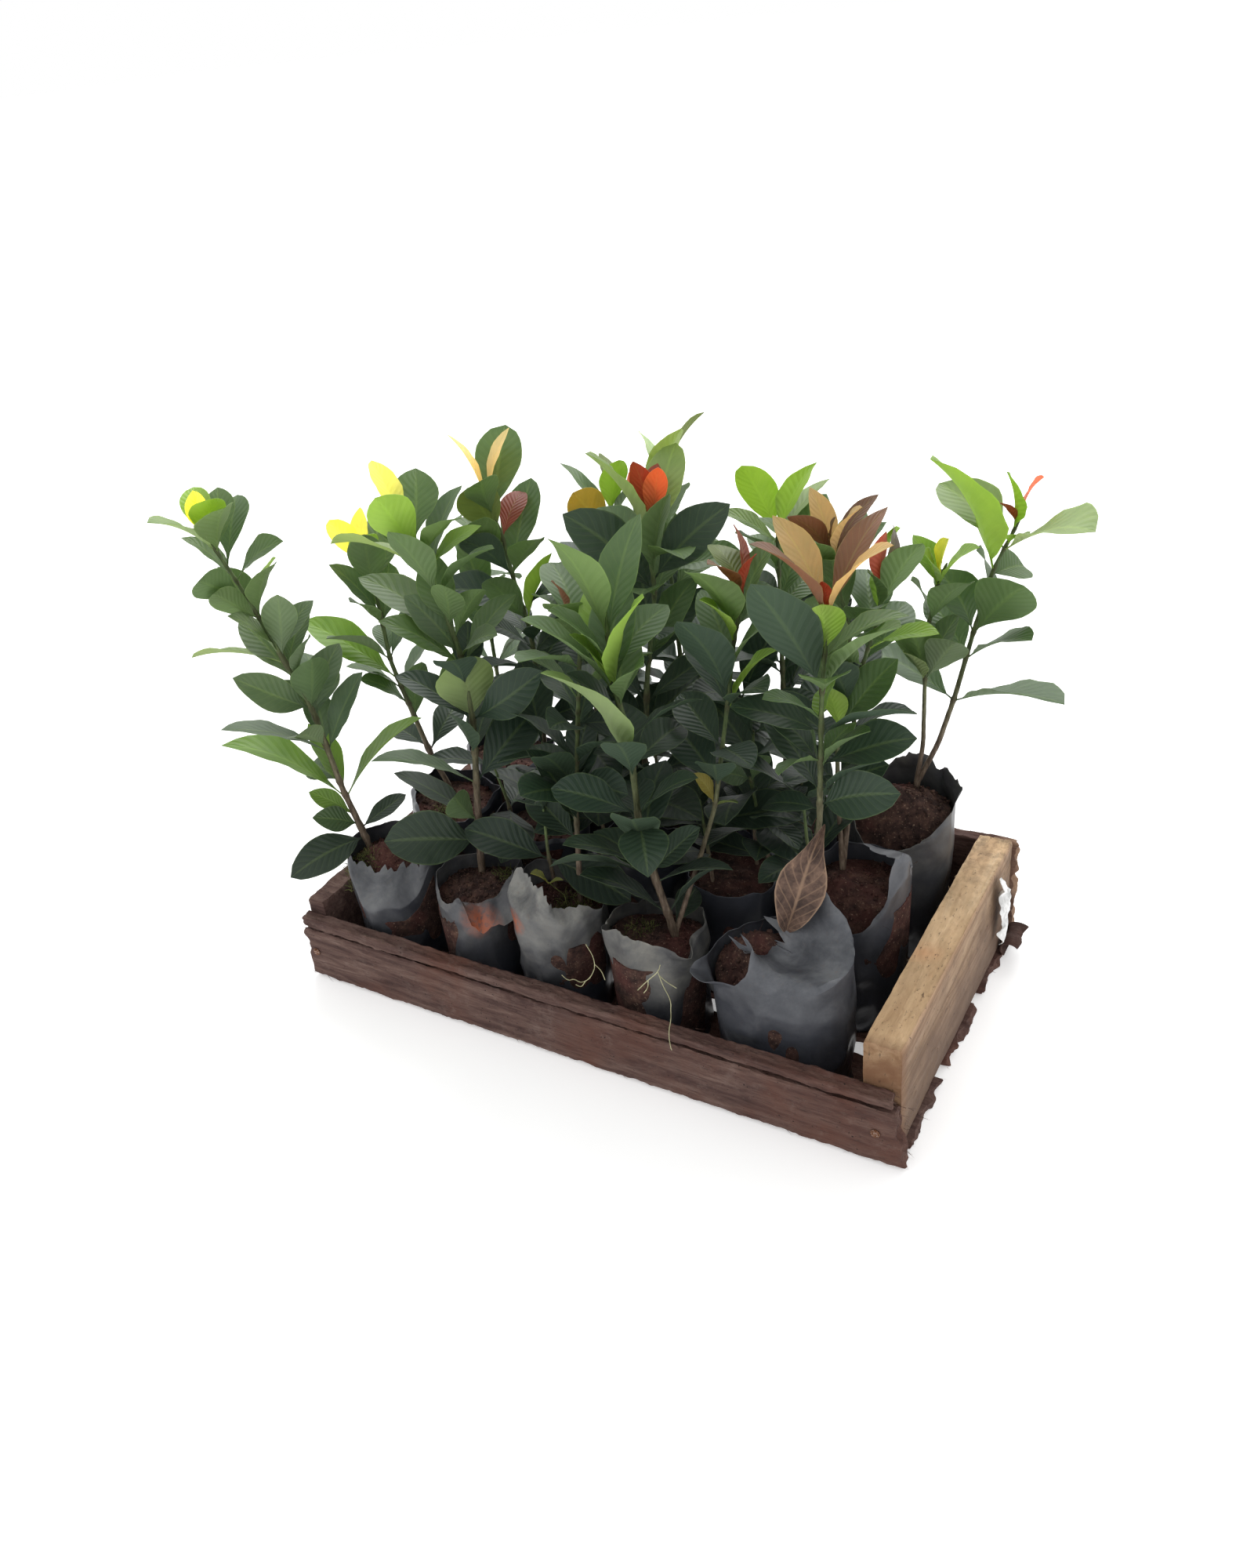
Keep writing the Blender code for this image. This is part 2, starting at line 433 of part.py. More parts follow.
def crumple(thing, bag, seed):
    """Push a turned bag or plug into its bag's own squashed, tilted form."""
    rng = random.Random(seed)
    phases = [rng.uniform(0, 2 * math.pi) for _ in range(3)]
    for vertex in thing.data.vertices:
        x, y, z = vertex.co
        angle = math.atan2(y, x)
        high = max(0.0, (z - BAG_FLOOR) / (bag.soil - BAG_FLOOR))
        dent = 1 - 0.020 * (1 + math.sin(2 * angle + phases[0]))
        dent -= 0.018 * (1 + math.sin(3 * angle + phases[1]))
        lift = slope_lift(bag, x, y) * min(high, 1.0) ** 2
        ripple = 1.2 * MM * math.sin(3 * angle + phases[2]) * max(0.0, high - 1.0) * 4
        vertex.co = (bag.centre[0] + x * dent * bag.half[0], bag.centre[1] + y * dent * bag.half[1],
                     z + lift + ripple)
    return thing


def stem_base(stem):
    """Where a stem comes out of the mounded soil."""
    bag = BAGS[stem.bag]
    x, y = (along * CM for along in stem.foot)
    share_x, share_y = x / bag.half[0], y / bag.half[1]
    fall = (1 - MOUND_SHOULDER[1]) / MOUND_SHOULDER[0] * math.hypot(share_x, share_y)
    level = bag.soil + bag.mound * (1 - fall) + slope_lift(bag, share_x, share_y)
    return Vector((bag.centre[0] + x, bag.centre[1] + y, level + STEM_COLLAR))


def make_bag(name, bag, seed, stems):
    # The profile is in shares of the half widths, so both walls keep one spacing
    wall = FILM / min(bag.half)
    slack = GAP * 1.8 / min(bag.half)
    levels = [BAG_FLOOR, bag.soil]
    shares = [0.93, 0.97]
    floor_top = BAG_FLOOR + FILM
    inner = [(0, floor_top)] + [(share - wall, max(level, floor_top))
                                for share, level in zip(shares, levels)]
    rim = [(0.99 - wall, bag.rim), (0.99, bag.rim)]
    outer = [(share, level) for share, level in zip(reversed(shares), reversed(levels))]
    sleeve = screw(f"bag_{name}", inner + rim + outer + [(0, BAG_FLOOR)], film)
    crumple(sleeve, bag, seed)

    plug_floor = floor_top + GAP
    plug_shares = [share - wall - slack for share in shares]
    shoulder = (plug_shares[1] * MOUND_SHOULDER[0], bag.soil + bag.mound * MOUND_SHOULDER[1])
    profile = [(0, bag.soil + bag.mound), shoulder, (plug_shares[1], bag.soil),
               (plug_shares[0], plug_floor), (0, plug_floor)]
    soil = crumple(screw(f"soil_{name}", profile, coir_soil), bag, seed)
    base = stem_base(stems[0])
    top = base + Vector((0, 0, 30 * MM))
    bottom = base - Vector((0, 0, HOLE_DEPTH))
    radius = max(stem.girth[0] for stem in stems) / 2 * MM * 1.02 + GAP
    return sleeve, cut(soil, cutter_rod(bottom, top, radius))


# Plants

def blade_axes(heading, rise, turn):
    """Along, across and face directions of a leaf."""
    heading, rise, turn = (math.radians(angle) for angle in (heading, rise, turn))
    along = Vector((math.cos(heading) * math.cos(rise), math.sin(heading) * math.cos(rise),
                    math.sin(rise)))
    face = (Vector((0, 0, 1)) - along * along.z).normalized()
    face = Matrix.Rotation(turn, 3, along) @ face
    return along, along.cross(face), face


def blade_rings(root, leaf, swell=0.0):
    """Cross-sections of a blade: left edge, top of the midrib, right edge, underside."""
    _, heading, rise, length, width, turn = leaf
    along, across, face = blade_axes(heading, rise, turn)
    rings = []
    stations = SMALL_BLADE_STATIONS if length < SMALL_BLADE else BLADE_STATIONS
    for share, wide in stations[:-1]:
        half = max(width / 2 * CM * wide, PETIOLE) + swell
        arch = ARCH * length * CM * 4 * share * (1 - share)
        middle = root + along * length * CM * share + face * arch
        lift = face * FOLD * half * min(1.0, 3 * share)
        deep = face * (BLADE_THICK * (1 - 0.35 * share) / 2 + swell)
        rings.append([middle - across * half + lift, middle + deep,
                      middle + across * half + lift, middle - deep])
    return rings, root + along * (length * CM + swell)


def blade_faces(rings):
    faces = [(3, 2, 1, 0)]
    for ring in range(len(rings) - 1):
        for side in range(4):
            a, b = 4 * ring + side, 4 * ring + (side + 1) % 4
            faces.append((a, b, b + 4, a + 4))
    last = 4 * (len(rings) - 1)
    tip = 4 * len(rings)
    return faces + [(last + side, last + (side + 1) % 4, tip) for side in range(4)]


def blade_mesh(root, leaf):
    rings, tip = blade_rings(root, leaf)
    mesh = bpy.data.meshes.new("blade")
    mesh.from_pydata([point for ring in rings for point in ring] + [tip], [], blade_faces(rings))
    bm = bmesh.new()
    bm.from_mesh(mesh)
    bmesh.ops.recalc_face_normals(bm, faces=bm.faces)
    bm.to_mesh(mesh)
    bm.free()
    return mesh


def course_points(stem):
    """The stem's course in the world, from the soil to its tip."""
    bag = BAGS[stem.bag]
    rest = [Vector((bag.centre[0] + x * CM, bag.centre[1] + y * CM, z * CM))
            for x, y, z in stem.course]
    return [stem_base(stems_of[stem.bag][0])] + rest


def at_height(points, height):
    """The point at a length along the course."""
    total = sum((b - a).length for a, b in zip(points, points[1:]))
    left = min(height, total - 1 * MM)
    for a, b in zip(points, points[1:]):
        step = (b - a).length
        if left <= step:
            return a + (b - a) * (left / step)
        left -= step
    return points[-1]


def leaf_root(stem, points, leaf):
    """Inside the stem at the leaf's height, a little towards the leaf's own side."""
    total = sum((b - a).length for a, b in zip(points, points[1:]))
    share = min(1.0, leaf[0] * CM / total)
    radius = (stem.girth[0] + (stem.girth[1] - stem.girth[0]) * share) / 2 * MM
    heading = math.radians(leaf[1])
    side = Vector((math.cos(heading), math.sin(heading), 0.0))
    return at_height(points, leaf[0] * CM) + side * radius * ROOT_OFFSET


def tree_of(vertices, faces):
    return BVHTree.FromPolygons([tuple(v) for v in vertices], faces, all_triangles=False)


def object_tree(thing):
    return tree_of([v.co for v in thing.data.vertices], [tuple(p.vertices) for p in thing.data.polygons])


def stem_tree(stem, points):
    """A four-sided sleeve around a stem, for keeping leaves clear of it."""
    vertices, faces = [], []
    radius = stem.girth[0] / 2 * MM + CLEARANCE
    corners = [Vector(corner) * radius for corner in ((1, 0, 0), (0, 1, 0), (-1, 0, 0), (0, -1, 0))]
    for point in points:
        vertices += [point + corner for corner in corners]
    for ring in range(len(points) - 1):
        for side in range(4):
            a, b = 4 * ring + side, 4 * ring + (side + 1) % 4
            faces.append((a, b, b + 4, a + 4))
    return tree_of(vertices, faces)


def twins(stem):
    """Opposite leaves for those that stand alone, on the side that faces the back."""
    added = []
    for height, heading, rise, length, width, _ in stem.leaves:
        across = (heading + 180) % 360
        alone = all(abs(height - other[0]) * CM > TWIN_SPACING
                    or abs((other[1] - across + 180) % 360 - 180) > 75 for other in stem.leaves)
        hidden = TWIN_HEADINGS[0] < across < TWIN_HEADINGS[1]
        if alone and hidden and height > 4 and length > TWIN_LEAST:
            added.append((height, across, max(10, min(60, rise)), length * TWIN_SCALE,
                          width * TWIN_SCALE, 0))
    return added


class Thicket:
    """Leaves placed so far, so that a new one turns aside before it crosses them."""

    def __init__(self, obstacles):
        self.obstacles = obstacles
        self.blades = []
        self.stems = []

    def clear(self, bag, root, leaf):
        rings, tip = blade_rings(root, leaf, CLEARANCE)
        whole = tree_of([p for ring in rings for p in ring] + [tip], blade_faces(rings))
        outer = tree_of([p for ring in rings[1:] for p in ring] + [tip], blade_faces(rings[1:]))
        reach = leaf[3] * CM
        for tree in self.obstacles:
            if whole.overlap(tree):
                return False
        for owner, tree in self.stems:
            if owner != bag and whole.overlap(tree):
                return False
        for owner, other_root, other_reach, other_whole, other_outer in self.blades:
            if (other_root - root).length > reach + other_reach:
                continue
            if owner == bag:
                if outer.overlap(other_outer):
                    return False
            elif whole.overlap(other_whole):
                return False
        self.blades.append((bag, root, reach, whole, outer))
        return True

    def settle(self, bag, root, leaf):
        """The leaf as listed, or turned a little aside, or smaller, or none."""
        height, heading, rise, length, width, turn = leaf
        for size in (1.0, 0.8):
            for aside, lift in DODGES:
                tried = (height, heading + aside, rise + lift, length * size, width * size, turn)
                if self.clear(bag, root, tried):
                    return tried
        return None


def stem_mesh_object(stem, points):
    """A tapering tube along the course, closed at both ends."""
    curve = bpy.data.curves.new("stem", "CURVE")
    curve.dimensions = "3D"
    curve.bevel_depth = stem.girth[0] / 2 * MM
    curve.bevel_resolution = 1
    curve.use_fill_caps = True
    spline = curve.splines.new("POLY")
    spline.points.add(len(points) - 1)
    lengths = [0.0]
    for a, b in zip(points, points[1:]):
        lengths.append(lengths[-1] + (b - a).length)
    for point, place, length in zip(spline.points, points, lengths):
        point.co = (*place, 1.0)
        share = max(0.0, (length - STEM_ROOT_DEPTH) / (lengths[-1] - STEM_ROOT_DEPTH))
        point.radius = 1.0 + (stem.girth[1] / stem.girth[0] - 1.0) * share
    tube = bpy.data.objects.new("stem", curve)
    ixora.objects.link(tube)
    curve.materials.append(foliage)
    return bake(tube)


def keep_outer_skin(thing):
    """Fill any hollow that crossing blades have sealed: only the largest skin stays."""
    bm = bmesh.new()
    bm.from_mesh(thing.data)
    unseen = set(bm.faces)
    skins = []
    while unseen:
        skin = [unseen.pop()]
        for face in skin:
            for edge in face.edges:
                for other in edge.link_faces:
                    if other in unseen:
                        unseen.remove(other)
                        skin.append(other)
        skins.append(skin)
    largest = max(skins, key=len)
    bmesh.ops.delete(bm, geom=[face for skin in skins if skin is not largest for face in skin],
                     context="FACES")
    bm.to_mesh(thing.data)
    bm.free()


# Build the bags first, because the leaves keep clear of them

stems_of = {name: [stem for stem in STEMS if stem.bag == name] for name in BAGS}

sleeves, soils = {}, {}
for seed, (name, bag) in enumerate(BAGS.items()):
    sleeves[name], soils[name] = make_bag(name, bag, 100 + seed, stems_of[name])

# A dead leaf has fallen into the right-hand front bag and stands on its stalk in the soil
DRY_LEAF = (0, 46, 71, 9.0, 2.8, 60)
DRY_STALK = (1.2 * MM, 10 * MM)
dry_bag = BAGS["front_5"]
dry_foot = Vector((dry_bag.centre[0] - 6 * MM, dry_bag.centre[1] + 15 * MM, dry_bag.soil + 8 * MM))
stalk_foot = dry_foot - Vector((0, 0, DRY_STALK[1]))
soils["front_5"] = cut(soils["front_5"], cutter_rod(stalk_foot - Vector((0, 0, 2 * MM)),
                                                    dry_foot + Vector((0, 0, 10 * MM)),
                                                    DRY_STALK[0] + GAP))
bm = bmesh.new()
bmesh.ops.create_cone(bm, cap_ends=True, segments=6, radius1=DRY_STALK[0], radius2=DRY_STALK[0],
                      depth=DRY_STALK[1])
bm.transform(Matrix.Translation((dry_foot + stalk_foot) / 2))
stalk = add_object("dry_leaf", mesh_from(bm, "dry_leaf"), dry_leaf)
dry_blade = add_object("dry_blade", blade_mesh(dry_foot - Vector((0, 0, 1 * MM)), DRY_LEAF), None)
fallen = boolean(stalk, "UNION", dry_blade)
bpy.data.objects.remove(dry_blade, do_unlink=True)

obstacles = [front_slat, front_strip, back_slat, fallen, *end_boards.values(),
             *sleeves.values(), *soils.values()]

thicket = Thicket([object_tree(thing) for thing in obstacles])
courses = [course_points(stem) for stem in STEMS]
for stem, points in zip(STEMS, courses):
    thicket.stems.append((stem.bag, stem_tree(stem, points)))

placed = [[] for _ in STEMS]
for listed in (lambda stem: stem.leaves, twins):
    for leaves, stem, points in zip(placed, STEMS, courses):
        for leaf in listed(stem):
            root = leaf_root(stem, points, leaf)
            settled = thicket.settle(stem.bag, root, leaf)
            if settled:
                leaves.append((root, settled))

for name in BAGS:
    pieces = bpy.data.collections.new("pieces")
    bpy.context.scene.collection.children.link(pieces)
    trunk = None
    for leaves, stem, points in zip(placed, STEMS, courses):
        if stem.bag != name:
            continue
        root = points[0] - Vector((0, 0, STEM_ROOT_DEPTH))
        tube = stem_mesh_object(stem, [root] + points)
        if trunk is None:
            trunk = tube
        else:
            ixora.objects.unlink(tube)
            pieces.objects.link(tube)
        for place, leaf in leaves:
            add_object("blade", blade_mesh(place, leaf), None, pieces)
    trunk.name = f"plant_{name}"
    trunk = boolean(trunk, "UNION", pieces, solver="MANIFOLD")
    keep_outer_skin(trunk)
    for thing in list(pieces.objects):
        bpy.data.objects.remove(thing, do_unlink=True)
    bpy.data.collections.remove(pieces)
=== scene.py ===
"""Potted ixora: the finished look of a wooden nursery tray with fifteen bagged ixora plants.

The pieces follow each other as the tray is put together: boards, nails, bags,
soil, stems and leaves, then the loose bits, the floor, the light and the camera.
Metres, +Z up, +X along the tray, origin on the ground under the tray's middle.
"""

import itertools
import math
import random
from collections import namedtuple

import bmesh
import bpy
import numpy as np
from mathutils import Matrix, Vector
from mathutils.bvhtree import BVHTree


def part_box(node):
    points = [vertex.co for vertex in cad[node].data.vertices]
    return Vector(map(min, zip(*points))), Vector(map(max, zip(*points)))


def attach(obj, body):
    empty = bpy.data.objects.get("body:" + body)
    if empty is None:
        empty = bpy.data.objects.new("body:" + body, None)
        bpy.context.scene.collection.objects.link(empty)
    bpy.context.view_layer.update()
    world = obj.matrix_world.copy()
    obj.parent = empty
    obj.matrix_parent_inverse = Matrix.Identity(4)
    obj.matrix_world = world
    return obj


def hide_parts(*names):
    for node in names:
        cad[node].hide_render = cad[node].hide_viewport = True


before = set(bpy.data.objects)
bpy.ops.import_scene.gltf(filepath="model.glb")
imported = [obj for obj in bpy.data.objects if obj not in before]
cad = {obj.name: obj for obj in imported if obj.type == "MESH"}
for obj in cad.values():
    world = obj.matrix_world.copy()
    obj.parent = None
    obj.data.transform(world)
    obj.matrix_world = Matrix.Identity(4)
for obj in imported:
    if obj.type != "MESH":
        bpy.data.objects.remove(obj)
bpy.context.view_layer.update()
MM = 0.001
CM = 0.01


# Tray boards. Rough planks of weathered, reddish brown wood, split from a log with
# the fibres standing off, and one thick pale sawn board at the right-hand end.
# Each plank is a fine grid with a thickness, roughened along its grain and torn at its ends.

def pick(piece):
    """Make one piece the only selected and the active one."""
    bpy.ops.object.select_all(action="DESELECT")
    piece.select_set(True)
    bpy.context.view_layer.objects.active = piece
    return piece


def points_of(piece):
    points = np.empty(len(piece.data.vertices) * 3)
    piece.data.vertices.foreach_get("co", points)
    return points.reshape(-1, 3)


def put_points(piece, points):
    piece.data.vertices.foreach_set("co", np.asarray(points, np.float32).ravel())
    piece.data.update()


def normals_of(piece):
    normals = np.empty(len(piece.data.vertices) * 3)
    piece.data.vertex_normals.foreach_get("vector", normals)
    return normals.reshape(-1, 3)


def roughness_at(points, scale, seed):
    """A smooth random height between -1 and 1 for each point, from a lattice of random numbers."""
    size = 32
    lattice = np.random.default_rng(seed).uniform(-1, 1, (size, size, size))
    spots = np.asarray(points) * np.asarray(scale)
    cells = np.floor(spots).astype(int)
    part = spots - cells
    part = part * part * (3 - 2 * part)
    total = np.zeros(len(spots))
    for corner in itertools.product((0, 1), repeat=3):
        share = np.prod(np.where(corner, part, 1 - part), axis=1)
        index = (cells + corner) % size
        total += share * lattice[index[:, 0], index[:, 1], index[:, 2]]
    return total


def seat(piece, name, material, stands_for=()):
    """Name a finished piece, give it its finish, and let it ride with the tray."""
    piece.name = name
    piece.data.name = name
    piece.data.materials.clear()
    for finish in (material if isinstance(material, (list, tuple)) else (material,)):
        piece.data.materials.append(finish)
    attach(piece, "root")
    if stands_for:
        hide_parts(*stands_for)
    return piece


def join(pieces):
    pick(pieces[0])
    for piece in pieces[1:]:
        piece.select_set(True)
    if len(pieces) > 1:
        bpy.ops.object.join()
    return bpy.context.view_layer.objects.active


class Finish:
    """A material under construction: its shader and short calls for the nodes that feed it."""

    def __init__(self, name, roughness=0.6, metallic=0.0, **sockets):
        self.material = bpy.data.materials.new(name)
        self.material.use_nodes = True
        self.tree = self.material.node_tree
        self.shader = self.tree.nodes["Principled BSDF"]
        self.shader.inputs["Roughness"].default_value = roughness
        self.shader.inputs["Metallic"].default_value = metallic
        for socket, value in sockets.items():
            self.shader.inputs[socket.replace("_", " ")].default_value = value
        self.place = self.tree.nodes.new("ShaderNodeTexCoord").outputs["Object"]

    def node(self, kind, **settings):
        made = self.tree.nodes.new(kind)
        for name, value in settings.items():
            setattr(made, name, value)
        return made

    def feed(self, value, socket):
        if isinstance(value, bpy.types.NodeSocket):
            self.tree.links.new(value, socket)
        elif isinstance(value, (tuple, list)) and len(value) == 3 and socket.type == "RGBA":
            socket.default_value = (*value, 1.0)
        else:
            socket.default_value = value

    def stretched(self, scale, turn=(0, 0, 0), at=None):
        mapping = self.node("ShaderNodeMapping")
        self.feed(at or self.place, mapping.inputs["Vector"])
        mapping.inputs["Scale"].default_value = scale
        mapping.inputs["Rotation"].default_value = turn
        return mapping.outputs["Vector"]

    def noise(self, scale, detail=5.0, roughness=0.6, distortion=0.0, at=None):
        grain = self.node("ShaderNodeTexNoise")
        self.feed(at or self.place, grain.inputs["Vector"])
        for socket, value in (("Scale", scale), ("Detail", detail), ("Roughness", roughness),
                              ("Distortion", distortion)):
            grain.inputs[socket].default_value = value
        return grain.outputs["Fac"]

    def cells(self, scale, at=None, feature="F1", output="Distance"):
        pattern = self.node("ShaderNodeTexVoronoi", feature=feature)
        self.feed(at or self.place, pattern.inputs["Vector"])
        pattern.inputs["Scale"].default_value = scale
        return pattern.outputs[output]

    def spread(self, value, low, high, to_low=0.0, to_high=1.0):
        """Stretch a range of a value to another range, cut off at its ends."""
        stretch = self.node("ShaderNodeMapRange")
        self.feed(value, stretch.inputs["Value"])
        for socket, number in (("From Min", low), ("From Max", high), ("To Min", to_low),
                               ("To Max", to_high)):
            stretch.inputs[socket].default_value = number
        return stretch.outputs["Result"]

    def sum(self, operation, first, second=0.0):
        reckon = self.node("ShaderNodeMath", operation=operation)
        self.feed(first, reckon.inputs[0])
        self.feed(second, reckon.inputs[1])
        return reckon.outputs[0]

    def tones(self, value, stops):
        """A colour for each height of a value: stops are (height, colour)."""
        ramp = self.node("ShaderNodeValToRGB")
        self.feed(value, ramp.inputs["Fac"])
        elements = ramp.color_ramp.elements
        while len(elements) < len(stops):
            elements.new(0.5)
        for element, (height, colour) in zip(elements, stops):
            element.position = height
            element.color = (*colour, 1.0)
        return ramp.outputs["Color"]

    def blend(self, share, first, second, way="MIX"):
        mix = self.node("ShaderNodeMix", data_type="RGBA", blend_type=way)
        self.feed(share, mix.inputs["Factor"])
        self.feed(first, mix.inputs["A"])
        self.feed(second, mix.inputs["B"])
        return mix.outputs["Result"]

    def near(self, spot, reach, sharpness=0.5):
        """1 close to a spot, and 0 beyond its reach."""
        gap = self.node("ShaderNodeVectorMath", operation="DISTANCE")
        self.feed(self.place, gap.inputs[0])
        gap.inputs[1].default_value = spot
        return self.spread(gap.outputs["Value"], reach * sharpness, reach, 1.0, 0.0)

    def along(self, axis):
        parts = self.node("ShaderNodeSeparateXYZ")
        self.feed(self.place, parts.inputs[0])
        return parts.outputs[axis]

    def attribute(self, name):
        return self.node("ShaderNodeAttribute", attribute_name=name).outputs["Fac"]

    def colour(self, value):
        self.feed(value, self.shader.inputs["Base Color"])

    def dull(self, value):
        self.feed(value, self.shader.inputs["Roughness"])

    def relief(self, height, depth, strength=1.0, under=None):
        bump = self.node("ShaderNodeBump")
        bump.inputs["Strength"].default_value = strength
        bump.inputs["Distance"].default_value = depth
        self.feed(height, bump.inputs["Height"])
        if under is not None:
            self.feed(under, bump.inputs["Normal"])
        self.feed(bump.outputs["Normal"], self.shader.inputs["Normal"])
        return bump.outputs["Normal"]


def weathered_wood(name, light=1.0):
    """Dark reddish brown fibres, with grey dust, rust-red patches and black cracks."""
    wood = Finish(name, roughness=0.9, Specular_IOR_Level=0.25)
    fibres = wood.noise(1.0, 8.0, 0.68, 0.5, at=wood.stretched((16, 120, 130)))
    strands = wood.noise(1.0, 4.0, 0.7, 0.2, at=wood.stretched((70, 620, 650)))
    patches = wood.noise(13.0, 4.0, 0.6)
    brown = wood.tones(fibres, ((0.22, (0.020 * light, 0.011 * light, 0.010 * light)),
                                (0.42, (0.075 * light, 0.040 * light, 0.034 * light)),
                                (0.58, (0.130 * light, 0.078 * light, 0.064 * light)),
                                (0.80, (0.260 * light, 0.180 * light, 0.150 * light))))
    redder = wood.blend(wood.spread(patches, 0.46, 0.66, 0.0, 0.65), brown,
                        (0.115 * light, 0.045 * light, 0.030 * light), "MIX")
    dusty = wood.blend(wood.spread(wood.noise(60.0, 6.0, 0.75), 0.54, 0.76, 0.0, 0.4), redder,
                       (0.24 * light, 0.175 * light, 0.150 * light))
    lines = wood.blend(wood.spread(strands, 0.30, 0.48, 0.55, 0.0), dusty,
                       (0.030, 0.017, 0.014))
    specks = wood.blend(wood.spread(wood.noise(420.0, 2.0, 0.5), 0.70, 0.76), lines,
                        (0.010, 0.007, 0.006))
    # The far right corner is dry and pale
    corner = wood.sum("MULTIPLY", wood.spread(wood.along("X"), 0.244, 0.262, 0.0, 0.85),
                      wood.spread(wood.along("Y"), 0.128, 0.136))
    wood.colour(wood.blend(wood.sum("MULTIPLY", corner, wood.spread(fibres, 0.3, 0.55, 0.5, 1.0)), specks,
                           (0.300, 0.190, 0.120)))
    wood.relief(strands, 0.7 * MM, 1.0, under=wood.relief(fibres, 1.6 * MM, 0.9))
    return wood.material


def copies_of(blank, shapes, marks=None):
    """One piece with a copy of a blank for each array of points, and its marks."""
    count = len(blank.data.vertices)
    faces = [tuple(face.vertices) for face in blank.data.polygons]
    finishes = [face.material_index for face in blank.data.polygons]
    mesh = bpy.data.meshes.new("copies")
    mesh.from_pydata(np.concatenate(shapes), [],
                     [tuple(v + i * count for v in face) for i in range(len(shapes)) for face in faces])
    mesh.polygons.foreach_set("material_index", np.tile(finishes, len(shapes)).astype(np.int32))
    piece = bpy.data.objects.new("copies", mesh)
    bpy.context.scene.collection.objects.link(piece)
    for name, values in (marks or {}).items():
        mark(piece, name, np.concatenate(values))
    return piece


def mark(piece, name, values):
    """A number for each point of a piece, for its finish to read."""
    layer = piece.data.attributes.new(name, "FLOAT", "POINT")
    layer.data.foreach_set("value", np.asarray(values, np.float32))


# Every loose fibre, splinter, root and hair is a copy of one thin three-sided strand
STRAND_CUTS = 3
bpy.ops.object.select_all(action="DESELECT")
bpy.ops.mesh.primitive_cylinder_add(vertices=3, radius=1, depth=1)
strand_blank = bpy.context.object
bpy.ops.object.mode_set(mode="EDIT")
bpy.ops.mesh.select_mode(type="EDGE")
bpy.ops.mesh.select_all(action="DESELECT")
bpy.ops.object.mode_set(mode="OBJECT")
for edge in strand_blank.data.edges:
    ends = [strand_blank.data.vertices[v].co.z for v in edge.vertices]
    edge.select = abs(ends[0] - ends[1]) > 0.5
bpy.ops.object.mode_set(mode="EDIT")
bpy.ops.mesh.subdivide(number_cuts=STRAND_CUTS)
bpy.ops.object.mode_set(mode="OBJECT")
strand_points = points_of(strand_blank)


def strand(path, thick, tip=0.25):
    """The points of a thin strand along a path, thinner at its tip."""
    path = np.asarray(path, float)
    share = strand_points[:, 2] + 0.5
    spots = share * (len(path) - 1)
    low = np.minimum(spots.astype(int), len(path) - 2)
    part = (spots - low)[:, None]
    middle = path[low] * (1 - part) + path[low + 1] * part
    run = path[-1] - path[0]
    side = np.cross(run, (0.31, 0.22, 1.0))
    side /= np.linalg.norm(side)
    other = np.cross(run / np.linalg.norm(run), side)
    radius = thick / 2 * (1 - (1 - tip) * share)
    return middle + (side * strand_points[:, :1] + other * strand_points[:, 1:2]) * radius[:, None]


def wander(start, heading, length, rng, sag=0.0, kinks=0.35, steps=4):
    """A path that wanders off from a start."""
    spot = np.asarray(start, float)
    way = np.asarray(heading, float) / np.linalg.norm(heading)
    path = [spot]
    for _ in range(steps):
        way = way + rng.normal(0, kinks, 3) * 0.5
        way[2] -= sag
        way /= np.linalg.norm(way)
        spot = spot + way * length / steps
        path.append(spot)
    return path


